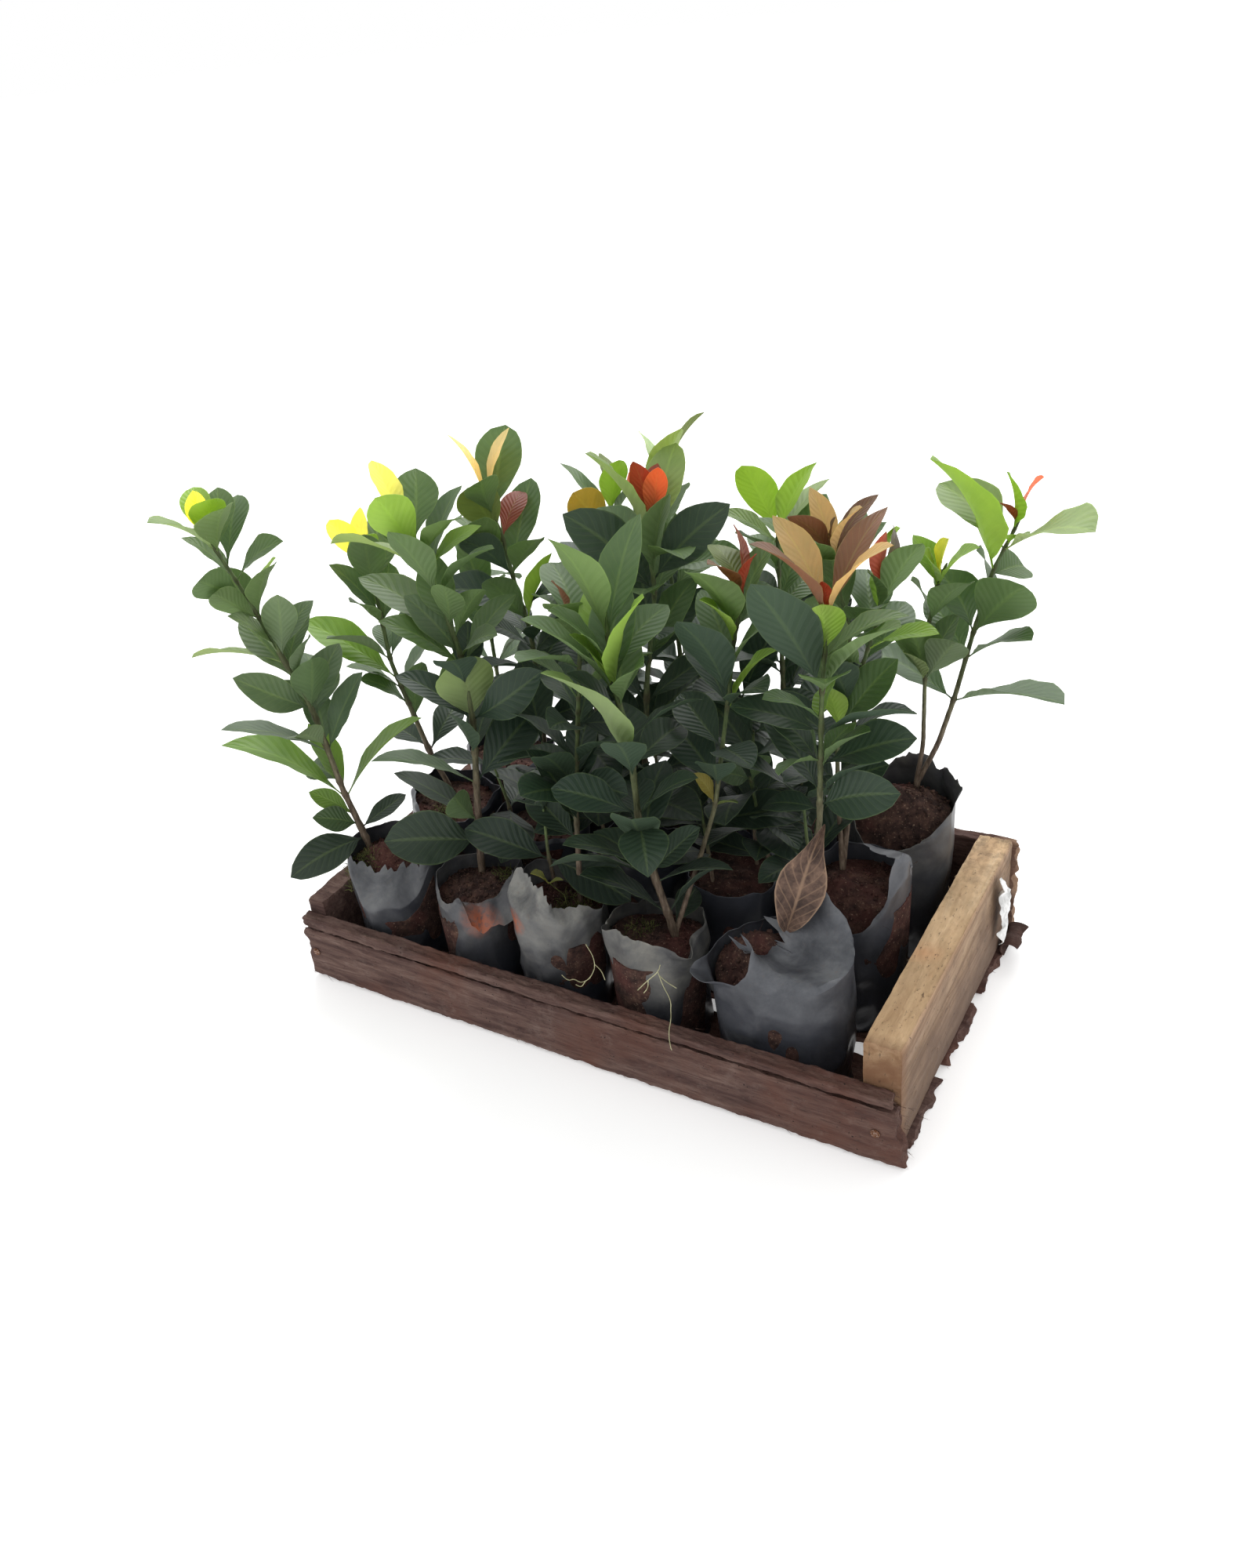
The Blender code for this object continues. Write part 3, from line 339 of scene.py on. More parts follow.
def board(name, node, corners, plane, cells, rough, torn, seed, material, hairs=0):
    """A plank on an outline of four corners: its grain runs from the first to the second."""
    along, across, deep = cells
    bpy.ops.object.select_all(action="DESELECT")
    bpy.ops.mesh.primitive_grid_add(x_subdivisions=along, y_subdivisions=across, size=1)
    plank = bpy.context.object
    bpy.ops.object.mode_set(mode="EDIT")
    bpy.ops.mesh.select_all(action="SELECT")
    bpy.ops.mesh.extrude_region_move(TRANSFORM_OT_translate={"value": (0, 0, 1)})
    bpy.ops.object.mode_set(mode="OBJECT")
    shell = bmesh.new()
    shell.from_mesh(plank.data)
    posts = [edge for edge in shell.edges
             if abs(edge.verts[0].co.z - edge.verts[1].co.z) > 0.5]
    bmesh.ops.subdivide_edges(shell, edges=posts, cuts=deep, use_grid_fill=True)
    bmesh.ops.recalc_face_normals(shell, faces=shell.faces)
    shell.to_mesh(plank.data)
    shell.free()
    share = points_of(plank) + np.array((0.5, 0.5, 0.0))
    u, v, w = share.T
    low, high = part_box(node)
    axis_u, axis_v, axis_w = plane
    (u0, v0), (u1, v1), (u2, v2), (u3, v3) = corners
    points = np.zeros((len(share), 3))
    points[:, axis_u] = (1 - v) * (u0 + (u1 - u0) * u) + v * (u3 + (u2 - u3) * u)
    points[:, axis_v] = (1 - v) * (v0 + (v1 - v0) * u) + v * (v3 + (v2 - v3) * u)
    points[:, axis_w] = low[axis_w] + (high[axis_w] - low[axis_w]) * w
    # The ends are torn into tongues, and the long edges are ragged
    finer = np.zeros(3)
    finer[axis_v], finer[axis_w] = 130, 150
    tongues = roughness_at(points, finer, seed) + 0.35 * roughness_at(points, finer * 2.4, seed + 1)
    close = np.clip(1 - np.minimum(u, 1 - u) * (u1 - u0) / (6 * MM), 0, 1)
    points[:, axis_u] += np.where(u < 0.5, -1, 1) * close * (tongues - 0.8) * torn[0]
    finer[axis_u], finer[axis_v], finer[axis_w] = 85, 0, 160
    waves = roughness_at(points, finer, seed + 2) + 0.8 * roughness_at(points, finer * 3.7, seed + 3)
    close = np.clip(1 - np.minimum(v, 1 - v) * abs(v3 - v0) / (4 * MM), 0, 1)
    points[:, axis_v] += np.where(v < 0.5, -1, 1) * close * (waves - 0.5) * torn[1]
    # Arrises are worn round, and the faces are rough along the grain
    for near_edge, depth in ((v, 1.0), (u, 0.6)):
        worn = np.clip(1 - np.minimum(near_edge, 1 - near_edge) / 0.05, 0, 1) ** 2
        points[:, axis_w] += np.where(w < 0.5, 1, -1) * worn * np.abs(w - 0.5) * 2 * depth * MM
    put_points(plank, points)
    grain = np.full(3, 170.0)
    grain[axis_u] = 16
    ridges = 0.8 * roughness_at(points, grain, seed + 4) + 0.6 * roughness_at(points, grain * 2.6, seed + 5)
    tears = np.abs(roughness_at(points, grain * (0.5, 0.17, 0.17), seed + 7))
    lumps = roughness_at(points, (34, 40, 40), seed + 6) + 0.7 * roughness_at(points, (120, 130, 130), seed + 8)
    relief = ridges + 0.8 * lumps - 2.4 * np.clip(1 - tears * 16, 0, 1)
    points += normals_of(plank) * (relief * rough)[:, None]
    points[:, 2] = np.maximum(points[:, 2], 0.3 * MM)
    put_points(plank, points)
    parts = [plank]
    rng = np.random.default_rng(seed)
    hair_shapes = []
    for _ in range(hairs):
        side = rng.choice(("low", "high", "start", "end", "face"), p=(0.44, 0.30, 0.04, 0.04, 0.18))
        run = rng.random()
        place = np.zeros(3)
        place[axis_w] = rng.uniform(low[axis_w] + 0.8 * MM, high[axis_w] - 0.8 * MM)
        heading = np.zeros(3)
        heading[axis_w] = rng.uniform(-0.4, 0.4)
        if side in ("low", "high"):
            place[axis_u] = u0 + (u1 - u0) * run
            place[axis_v] = (v0 + (v1 - v0) * run) if side == "low" else (v3 + (v2 - v3) * run)
            heading[axis_u] = rng.choice((-1, 1)) * rng.uniform(0.6, 1.2)
            heading[axis_v] = rng.uniform(0.0, 0.45) * (-1 if side == "low" else 1)
        elif side == "face":
            place[axis_u] = u0 + (u1 - u0) * run
            place[axis_v] = v0 + (v3 - v0) * rng.uniform(0.1, 0.9)
            outer = rng.choice((0, 1))
            place[axis_w] = (low, high)[outer][axis_w]
            heading[axis_u] = rng.choice((-1, 1))
            heading[axis_w] = (-0.16, 0.16)[outer]
            heading[axis_v] = rng.uniform(-0.2, 0.2)
        else:
            place[axis_u] = u0 + 2 * MM if side == "start" else u1 - 2 * MM
            place[axis_v] = v0 + (v3 - v0) * run
            heading[axis_u] = -1 if side == "start" else 1
            heading[axis_v] = rng.uniform(-0.7, 0.3)
        length = rng.uniform(2.5, 8.5) * MM
        way = heading / np.linalg.norm(heading)
        path = wander(place - way * length * 0.25, heading, length, rng, kinks=0.22)
        hair = strand(path, rng.uniform(0.16, 0.5) * MM, 0.2)
        hair[:, 2] = np.maximum(hair[:, 2], 0.3 * MM)
        hair_shapes.append(hair)
    if hair_shapes:
        parts.append(copies_of(strand_blank, hair_shapes))
    plank = join(parts)
    pick(plank)
    bpy.ops.object.shade_smooth_by_angle(angle=math.radians(42))
    return seat(plank, name, material, (node,))


XZ, YZ, XY = (0, 2, 1), (1, 2, 0), (0, 1, 2)
TRAY_HALF = (260 * MM, 130 * MM)
old_wood = weathered_wood("weathered_wood")

board("front_slat_wood", "front_slat",
      ((-263 * MM, 2.5 * MM), (268 * MM, 2.5 * MM), (260 * MM, 51 * MM), (-261 * MM, 53 * MM)), XZ,
      (190, 44, 8), 0.24 * MM, (2.6 * MM, 1.0 * MM), 5, old_wood, 420)
board("front_strip_wood", "front_strip",
      ((-259 * MM, 54.2 * MM), (258 * MM, 54.0 * MM), (256 * MM, 62 * MM), (-261 * MM, 64.4 * MM)), XZ,
      (190, 10, 8), 0.34 * MM, (2.6 * MM, 1.0 * MM), 6, old_wood, 320)
board("back_slat_wood", "back_slat",
      ((-261 * MM, 2.5 * MM), (264 * MM, 2.5 * MM), (264 * MM, 92 * MM), (-261 * MM, 92 * MM)), XZ,
      (150, 60, 7), 0.24 * MM, (2.6 * MM, 0.9 * MM), 7, old_wood, 300)
for index in (1, 2, 3):
    low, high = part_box(f"floor_slat_{index}")
    board(f"floor_slat_wood_{index}", f"floor_slat_{index}",
          ((-262 * MM, low.y + 1.5 * MM), (265 * MM, low.y + 1.5 * MM), (265 * MM, high.y - 1.5 * MM),
           (-262 * MM, high.y - 1.5 * MM)), XY,
          (120, 34, 5), 0.14 * MM, (3.0 * MM, 0.9 * MM), 8 + index, old_wood, 60)
low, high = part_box("end_board_left")
board("end_board_left_wood", "end_board_left",
      ((-130 * MM, low.z), (130 * MM, low.z), (130 * MM, high.z - 0.6 * MM), (-130 * MM, high.z - 0.6 * MM)),
      YZ, (90, 38, 8), 0.22 * MM, (0.2 * MM, 0.8 * MM), 21, old_wood, 90)


# The right-hand end board is newer: thick, pale, sawn and split, yellow on top, with
# dark pores, an orange stain, a damp dark near end and short fibres along its arrises.

def sawn_wood(name):
    wood = Finish(name, roughness=0.82, Specular_IOR_Level=0.3)
    grain = wood.noise(1.0, 7.0, 0.62, 0.6, at=wood.stretched((95, 9, 120)))
    pores = wood.noise(1.0, 5.0, 0.7, 0.1, at=wood.stretched((420, 160, 130)))
    mottle = wood.noise(26.0, 5.0, 0.65, 0.3)
    pale = wood.tones(grain, ((0.25, (0.200, 0.120, 0.060)), (0.45, (0.400, 0.262, 0.140)),
                              (0.62, (0.560, 0.400, 0.235)), (0.82, (0.700, 0.545, 0.360))))
    aged = wood.blend(wood.spread(mottle, 0.42, 0.68, 0.0, 0.75), pale, (0.235, 0.150, 0.085))
    # The lower and outer part is darker and greyer than the top
    foot = wood.spread(wood.along("Z"), 0.012, 0.092, 0.72, 0.0)
    grey = wood.blend(foot, aged, (0.120, 0.078, 0.055))
    stain = wood.near((0.240, -0.028, 0.098), 0.015, 0.1)
    stained = wood.blend(wood.sum("MULTIPLY", stain, wood.spread(mottle, 0.3, 0.6, 0.4, 1.0)), grey,
                         (0.520, 0.165, 0.045))
    topped = wood.blend(wood.spread(wood.along("Z"), 0.0925, 0.0965, 0.0, 0.6), stained,
                        wood.tones(grain, ((0.25, (0.520, 0.330, 0.180)), (0.55, (0.760, 0.530, 0.320)),
                                           (0.80, (0.860, 0.680, 0.470)))))
    # The outer face is darkened with a cool grey: painted shade
    shaded_outer_face = wood.blend(wood.spread(wood.along("X"), 0.2575, 0.2600), topped,
                       wood.blend(1.0, topped, (0.62, 0.58, 0.64), "MULTIPLY"))
    damp = wood.spread(wood.along("Y"), -0.1300, -0.1180, 0.9, 0.0)
    ended = wood.blend(wood.sum("MULTIPLY", damp, wood.spread(mottle, 0.35, 0.6, 0.55, 1.0)), shaded_outer_face,
                       (0.170, 0.080, 0.040))
    # Towards the far end the board is darkened in patches: painted shade, with the shadow of the back slat
    far = wood.sum("MULTIPLY", wood.spread(wood.along("Y"), 0.02, 0.13, 0.0, 0.6),
                   wood.spread(wood.noise(85.0, 6.0, 0.7), 0.42, 0.62))
    far_painted_shade = wood.blend(far, ended, (0.085, 0.060, 0.040))
    specks = wood.blend(wood.spread(pores, 0.60, 0.70, 0.0, 0.85), far_painted_shade, (0.045, 0.027, 0.018))
    wood.colour(specks)
    wood.relief(pores, 0.5 * MM, 0.9, under=wood.relief(grain, 0.9 * MM, 0.8))
    return wood.material


fresh_wood = sawn_wood("sawn_wood")
low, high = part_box("end_board_right")
board("end_board_right_wood", "end_board_right",
      ((-130 * MM, low.z), (130 * MM, low.z), (130 * MM, high.z - 0.6 * MM), (-130 * MM, high.z - 0.6 * MM)),
      YZ, (150, 56, 16), 0.22 * MM, (0.2 * MM, 0.7 * MM), 22, fresh_wood, 260)


# Nails. Four wire nails hold the slats to the end boards, their flat heads rusted brown.
# They keep the frame's own shape and only get their finish here.

rust = Finish("nail_steel", roughness=0.62, metallic=0.75)
rust_spots = rust.noise(900.0, 4.0, 0.6)
rust.colour(rust.tones(rust_spots, ((0.35, (0.060, 0.026, 0.014)), (0.52, (0.200, 0.085, 0.040)),
                                    (0.70, (0.330, 0.300, 0.280)))))
rust.dull(rust.spread(rust_spots, 0.35, 0.7, 0.85, 0.4))
rust.relief(rust_spots, 0.2 * MM)
for face, side in itertools.product(("front", "back"), ("left", "right")):
    nail = cad[f"nail_{face}_{side}"]
    nail.data.materials.clear()
    nail.data.materials.append(rust.material)


# Bags. Fifteen thin black film bags stand in three rows of five, crumpled against each
# other, grey with dried dust. Each is a tube of film with a flat foot: its mouth is cut
# unevenly, and flaps of it are turned outward or lean in over the soil.

Bag = namedtuple("Bag", "centre half soil rim slope_way slope mound")
BAGS = {
    "front_1": Bag((-0.195, -0.085), (0.0440, 0.0420), 0.100, 0.114, 100, 0.16, 0.004),
    "front_2": Bag((-0.110, -0.085), (0.0370, 0.0420), 0.096, 0.110, 70, 0.10, 0.004),
    "front_3": Bag((-0.032, -0.085), (0.0390, 0.0420), 0.095, 0.112, 150, 0.18, 0.004),
    "front_4": Bag((0.052, -0.085), (0.0430, 0.0420), 0.094, 0.106, 40, 0.06, 0.004),
    "front_5": Bag((0.156, -0.085), (0.0590, 0.0420), 0.104, 0.116, 45, 0.34, 0.004),
    "middle_1": Bag((-0.195, 0.002), (0.0440, 0.0430), 0.105, 0.118, 200, 0.08, 0.004),
    "middle_2": Bag((-0.104, 0.002), (0.0450, 0.0430), 0.100, 0.112, 20, 0.06, 0.004),
    "middle_3": Bag((-0.012, 0.002), (0.0450, 0.0430), 0.100, 0.114, 300, 0.08, 0.004),
    "middle_4": Bag((0.080, 0.002), (0.0450, 0.0430), 0.100, 0.112, 160, 0.06, 0.004),
    "middle_5": Bag((0.176, 0.002), (0.0490, 0.0430), 0.112, 0.126, 50, 0.20, 0.004),
    "back_1": Bag((-0.191, 0.087), (0.0460, 0.0400), 0.105, 0.118, 90, 0.06, 0.004),
    "back_2": Bag((-0.098, 0.087), (0.0450, 0.0400), 0.108, 0.122, 250, 0.05, 0.004),
    "back_3": Bag((-0.006, 0.087), (0.0450, 0.0400), 0.100, 0.114, 10, 0.06, 0.004),
    "back_4": Bag((0.086, 0.087), (0.0450, 0.0400), 0.105, 0.120, 120, 0.08, 0.004),
    "back_5": Bag((0.182, 0.087), (0.0460, 0.0400), 0.128, 0.142, 60, 0.10, 0.024),
}
BAG_FOOT = 8.3 * MM
FILM = 0.35 * MM
FILM_AROUND = 96
WALL_RINGS = 26
FLAP_RINGS = 12

# Flaps of the mouth: the way they face and their half width in degrees, how far the rim
# is raised there and the flap's length in mm, and how far it leans: out is positive, past
# 90 it hangs down outside, and below 0 it lies in over the soil.
Flap = namedtuple("Flap", "way spread rim length lean")
FLAPS = {
    "front_1": (Flap(288, 78, -30, 32, -50), Flap(120, 60, -4, 3, -20)),
    "front_2": (Flap(325, 46, -2, 21, 148), Flap(240, 40, -12, 2, 0), Flap(90, 60, -6, 3, -30)),
    "front_3": (Flap(250, 62, 5, 24, -38), Flap(330, 34, -6, 15, -20), Flap(90, 50, -6, 3, 10)),
    "front_4": (Flap(258, 56, 8, 7, 4), Flap(325, 26, -8, 7, 60), Flap(100, 50, -6, 3, -30)),
    "front_5": (Flap(338, 80, -3, 74, -86), Flap(222, 22, -4, 15, 74), Flap(120, 40, -10, 3, -20)),
    "middle_5": (Flap(345, 24, 4, 24, -16), Flap(275, 44, -22, 2, 0), Flap(60, 50, -2, 14, -60)),
    "back_5": (Flap(96, 30, 2, 19, -6), Flap(32, 50, 0, 12, 22), Flap(275, 56, -24, 5, 12)),
}
# Where loose soil is heaped: the way and share of the half width where the heap stands,
# how wide it is as a share, and its height in mm
HEAPS = {"front_5": (158, 0.42, 0.55, 17), "back_5": (200, 0.35, 0.60, 9), "front_1": (150, 0.30, 0.60, 8),
         "middle_5": (170, 0.30, 0.60, 6)}
# How dusty the film is, and how brown its dust
DUST = {"front_1": (0.42, 0.2), "front_2": (0.45, 0.6), "front_3": (0.85, 0.55), "front_4": (0.80, 0.75),
        "front_5": (0.42, 0.0), "middle_5": (0.25, 0.0), "back_5": (0.42, 0.7)}


def smooth_step(values):
    values = np.clip(values, 0, 1)
    return values * values * (3 - 2 * values)


def slope_lift(bag, x, y):
    """How far the sloping mouth stands above its middle, at shares of the half widths."""
    way = math.radians(bag.slope_way)
    return bag.slope * (x * math.cos(way) + y * math.sin(way)) * sum(bag.half) / 2


def dents(angle, seed):
    """How much narrower the squashed bag is in each direction."""
    rng = random.Random(seed)
    phases = [rng.uniform(0, 2 * math.pi) for _ in range(3)]
    return 1 - 0.020 * (1 + np.sin(2 * angle + phases[0])) - 0.018 * (1 + np.sin(3 * angle + phases[1]))


def ring_stack(rings, around, name):
    """A tube of many rings on a closed foot, one unit high for each ring."""
    bpy.ops.object.select_all(action="DESELECT")
    bpy.ops.mesh.primitive_circle_add(vertices=around, radius=1, fill_type="NGON")
    stack = bpy.context.object
    stack.name = name
    bpy.ops.object.mode_set(mode="EDIT")
    bpy.ops.mesh.select_mode(type="EDGE")
    bpy.ops.mesh.select_all(action="SELECT")
    bpy.ops.mesh.extrude_edges_move(TRANSFORM_OT_translate={"value": (0, 0, 1)})
    for _ in range(rings - 2):
        bpy.ops.mesh.extrude_edges_move(TRANSFORM_OT_translate={"value": (0, 0, 1)})
    bpy.ops.mesh.select_all(action="SELECT")
    bpy.ops.mesh.normals_make_consistent(inside=False)
    bpy.ops.object.mode_set(mode="OBJECT")
    return stack


def flap_share(flap, angle):
    """1 in the middle of a flap, and 0 beyond its sides."""
    off = np.abs((np.degrees(angle) - flap.way + 180) % 360 - 180) / flap.spread
    return smooth_step(1.25 - off)


def film_bag(name, bag, seed):
    rings = WALL_RINGS + FLAP_RINGS
    sleeve = ring_stack(rings, FILM_AROUND, "bag")
    points = points_of(sleeve)
    angle = np.arctan2(points[:, 1], points[:, 0])
    ring = np.round(points[:, 2])
    unit = np.stack((np.cos(angle), np.sin(angle)), axis=1)
    on_circle = np.stack((unit[:, 0], unit[:, 1], np.zeros(len(unit))), axis=1)
    mouth = bag.rim + slope_lift(bag, unit[:, 0], unit[:, 1])
    mouth = mouth + 2.2 * MM * roughness_at(on_circle * 3.0 + seed, 1.0, seed)
    flaps = FLAPS.get(name, (Flap(40 + 70 * seed % 360, 50, -6, 6, -30), Flap(200 + 90 * seed % 360, 90, -7, 1, 0)))
    for flap in flaps:
        mouth = mouth + flap_share(flap, angle) * flap.rim * MM
    up = np.clip(ring / (WALL_RINGS - 1), 0, 1)
    height = BAG_FOOT + (mouth - BAG_FOOT) * up
    width = (0.93 + 0.055 * up) * dents(angle, seed)
    # Near the foot the film turns in under the bag
    width *= 1 - 0.05 * np.clip(1 - ring / 2, 0, 1)
    # Flaps past the mouth curl over a short bend and then run straight
    length = np.full(len(points), 2.2 * MM)
    lean = np.zeros(len(points))
    weight = np.full(len(points), 1e-6)
    inward = np.zeros((len(points), 2))
    for flap in flaps:
        near = flap_share(flap, angle)
        length += near * flap.length * MM
        lean += near * math.radians(flap.lean)
        weight += near
        way = math.radians(flap.way)
        inward += (near * (flap.lean < 0))[:, None] * (math.cos(way), math.sin(way))
    lean /= np.maximum(weight, 1.0)
    # A flap that lies inward keeps its width, so its points move side by side
    heading = unit + 6 * inward
    heading /= np.linalg.norm(heading, axis=1)[:, None]
    ragged = roughness_at(on_circle * 9.0 + seed, 1.0, seed + 3) + 0.6 * roughness_at(on_circle * 26.0, 1.0, seed)
    length *= 1 + 0.16 * ragged
    out = np.zeros(len(points))
    rise = np.zeros(len(points))
    past = np.clip((ring - WALL_RINGS + 1) / FLAP_RINGS, 0, 1)
    steps = 24
    for step in range(steps):
        here = past * (step + 0.5) / steps
        tilt = lean * smooth_step(here * length / (5 * MM))
        out += np.sin(tilt) * length * past / steps
        rise += np.cos(tilt) * length * past / steps
    slope_way = math.radians(bag.slope_way)
    tipped = heading * out[:, None]
    tipped_rise = bag.slope * (tipped[:, 0] * math.cos(slope_way) + tipped[:, 1] * math.sin(slope_way))
    rise += np.where(out < 0, tipped_rise, 0.0)
    place = np.stack((bag.centre[0] + unit[:, 0] * bag.half[0] * width + tipped[:, 0],
                      bag.centre[1] + unit[:, 1] * bag.half[1] * width + tipped[:, 1],
                      height + rise), axis=1)
    put_points(sleeve, place)
    # Crumples: flat facets that meet in sharp folds, and pleats below the mouth
    normals = normals_of(sleeve)
    creases = np.abs(roughness_at(place, (23, 23, 17), seed + 11))
    fine = np.abs(roughness_at(place + 3, (56, 56, 40), seed + 12))
    broad = roughness_at(place, (14, 14, 12), seed + 13)
    pleats = np.sin(angle * 13 + 4 * roughness_at(place, 30, seed)) * smooth_step((up - 0.6) / 0.4)
    push = 1.1 - 7.5 * creases - 3.2 * fine + 1.2 * broad + 0.3 * pleats
    push = np.clip(push, -4.2, 1.1) * np.where(place[:, 2] > bag.soil, 1.0 + 0.6 * past, 1.0)
    inside_limit = np.where(ring < 1, 0.0, 1.0)
    place += normals * (push * inside_limit * MM)[:, None]
    place[:, 2] = np.maximum(place[:, 2], BAG_FOOT)
    put_points(sleeve, place)
    # Dust lies where the film faces up, and along its torn edge
    facing_up = np.clip(normals_of(sleeve)[:, 2], 0, 1)
    amount, brown = DUST.get(name, (0.06, 0.0))
    dust = amount * smooth_step((up - 0.30) / 0.5) * (0.55 + 0.9 * facing_up) + 0.30 * past ** 5
    mark(sleeve, "dust", np.clip(dust, 0, 1))
    mark(sleeve, "brown", np.full(len(place), brown))
    sleeve.modifiers.new("film", "SOLIDIFY").thickness = FILM
    sleeve.modifiers["film"].offset = 0.0
    pick(sleeve)
    bpy.ops.object.modifier_apply(modifier="film")
    bpy.ops.object.shade_smooth_by_angle(angle=math.radians(38))
    return seat(sleeve, f"film_bag_{name}", bag_film, (f"bag_{name}",))


def dusty_film():
    film = Finish("bag_film", roughness=0.38, Specular_IOR_Level=0.5)
    dust = film.attribute("dust")
    clouds = film.noise(34.0, 6.0, 0.65, 0.3)
    grains = film.noise(240.0, 5.0, 0.7)
    amount = film.sum("MULTIPLY", dust, film.spread(clouds, 0.30, 0.62, 0.35, 1.15))
    bare = film.tones(film.noise(16.0, 3.0, 0.5), ((0.3, (0.018, 0.020, 0.027)),
                                                  (0.7, (0.036, 0.039, 0.050))))
    grey = film.tones(clouds, ((0.3, (0.105, 0.112, 0.128)), (0.55, (0.190, 0.198, 0.215)),
                               (0.75, (0.260, 0.266, 0.275))))
    tan = film.tones(clouds, ((0.3, (0.120, 0.112, 0.094)), (0.55, (0.225, 0.215, 0.175)),
                              (0.75, (0.310, 0.290, 0.230))))
    dusted = film.blend(film.spread(amount, 0.0, 1.0, 0.0, 0.92), bare,
                        film.blend(film.attribute("brown"), grey, tan))
    dry = film.blend(film.sum("MULTIPLY", amount, film.spread(grains, 0.56, 0.72, 0.0, 0.45)), dusted,
                     (0.150, 0.105, 0.075))
    # Red soil has dried on three mouths
    red = film.near((-0.082, -0.128, 0.094), 0.024, 0.35)
    red = film.sum("MAXIMUM", red, film.near((-0.050, -0.122, 0.106), 0.013, 0.3))
    red = film.sum("MULTIPLY", red, film.spread(grains, 0.36, 0.52, 0.15, 0.95))
    film.colour(film.blend(red, dry, (0.330, 0.090, 0.040)))
    film.dull(film.spread(amount, 0.0, 0.8, 0.30, 0.72))
    film.relief(film.noise(120.0, 3.0, 0.5, 0.8), 0.4 * MM, 0.35,
                under=film.relief(film.noise(42.0, 2.0, 0.5, 1.2), 1.6 * MM, 0.35))
    return film.material


bag_film = dusty_film()
for seed, (name, bag) in enumerate(BAGS.items()):
    film_bag(name, bag, 100 + seed)


# Soil. Each bag is filled with reddish brown coir dust and fibre, heaped a little in the
# middle and crumbly on top, with loose crumbs and thin fibres lying on it.

SOIL_AROUND = 72
SIDE_RINGS = 5
TOP_RINGS = 18
MOUND_SHOULDER = (0.62, 0.55)


def soil_level(name, bag, seed, share_x, share_y):
    """The soil's height at shares of the bag's half widths."""
    share = np.hypot(share_x, share_y)
    fall = (1 - MOUND_SHOULDER[1]) / MOUND_SHOULDER[0]
    inner = bag.mound * (1 - fall * share)
    outer = bag.mound * MOUND_SHOULDER[1] * np.clip((1 - share) / (1 - MOUND_SHOULDER[0]), 0, 1)
    heap = np.where(share < MOUND_SHOULDER[0], inner, outer)
    spots = np.stack((share_x, share_y, np.zeros(len(share_x))), axis=1)
    lumps = 1.7 * roughness_at(spots * 3.3 + seed, 1.0, seed) + 1.1 * roughness_at(spots * 9.0, 1.0, seed + 1)
    crumbs = 0.8 * np.abs(roughness_at(spots * 24.0, 1.0, seed + 2))
    # The soil has slipped where the rim is low
    slipped = 0
    for flap in FLAPS.get(name, ()):
        near = flap_share(flap, np.arctan2(share_y, share_x)) * smooth_step((share - 0.25) / 0.6)
        slipped = slipped + near * min(0, flap.rim) * MM
    if name in HEAPS:
        way, off, wide, high = HEAPS[name]
        gap = np.hypot(share_x - off * math.cos(math.radians(way)), share_y - off * math.sin(math.radians(way)))
        slipped = slipped + high * MM * smooth_step(1 - gap / wide)
    return (bag.soil + heap + slope_lift(bag, share_x, share_y) + slipped
            + (lumps + crumbs) * MM * (1 - 0.5 * share))


def blank_of(make, **settings):
    """A primitive that copies are taken from, then put away."""
    bpy.ops.object.select_all(action="DESELECT")
    make(**settings)
    return bpy.context.object


crumb_blank = blank_of(bpy.ops.mesh.primitive_ico_sphere_add, subdivisions=1, radius=1)
crumb_points = points_of(crumb_blank)


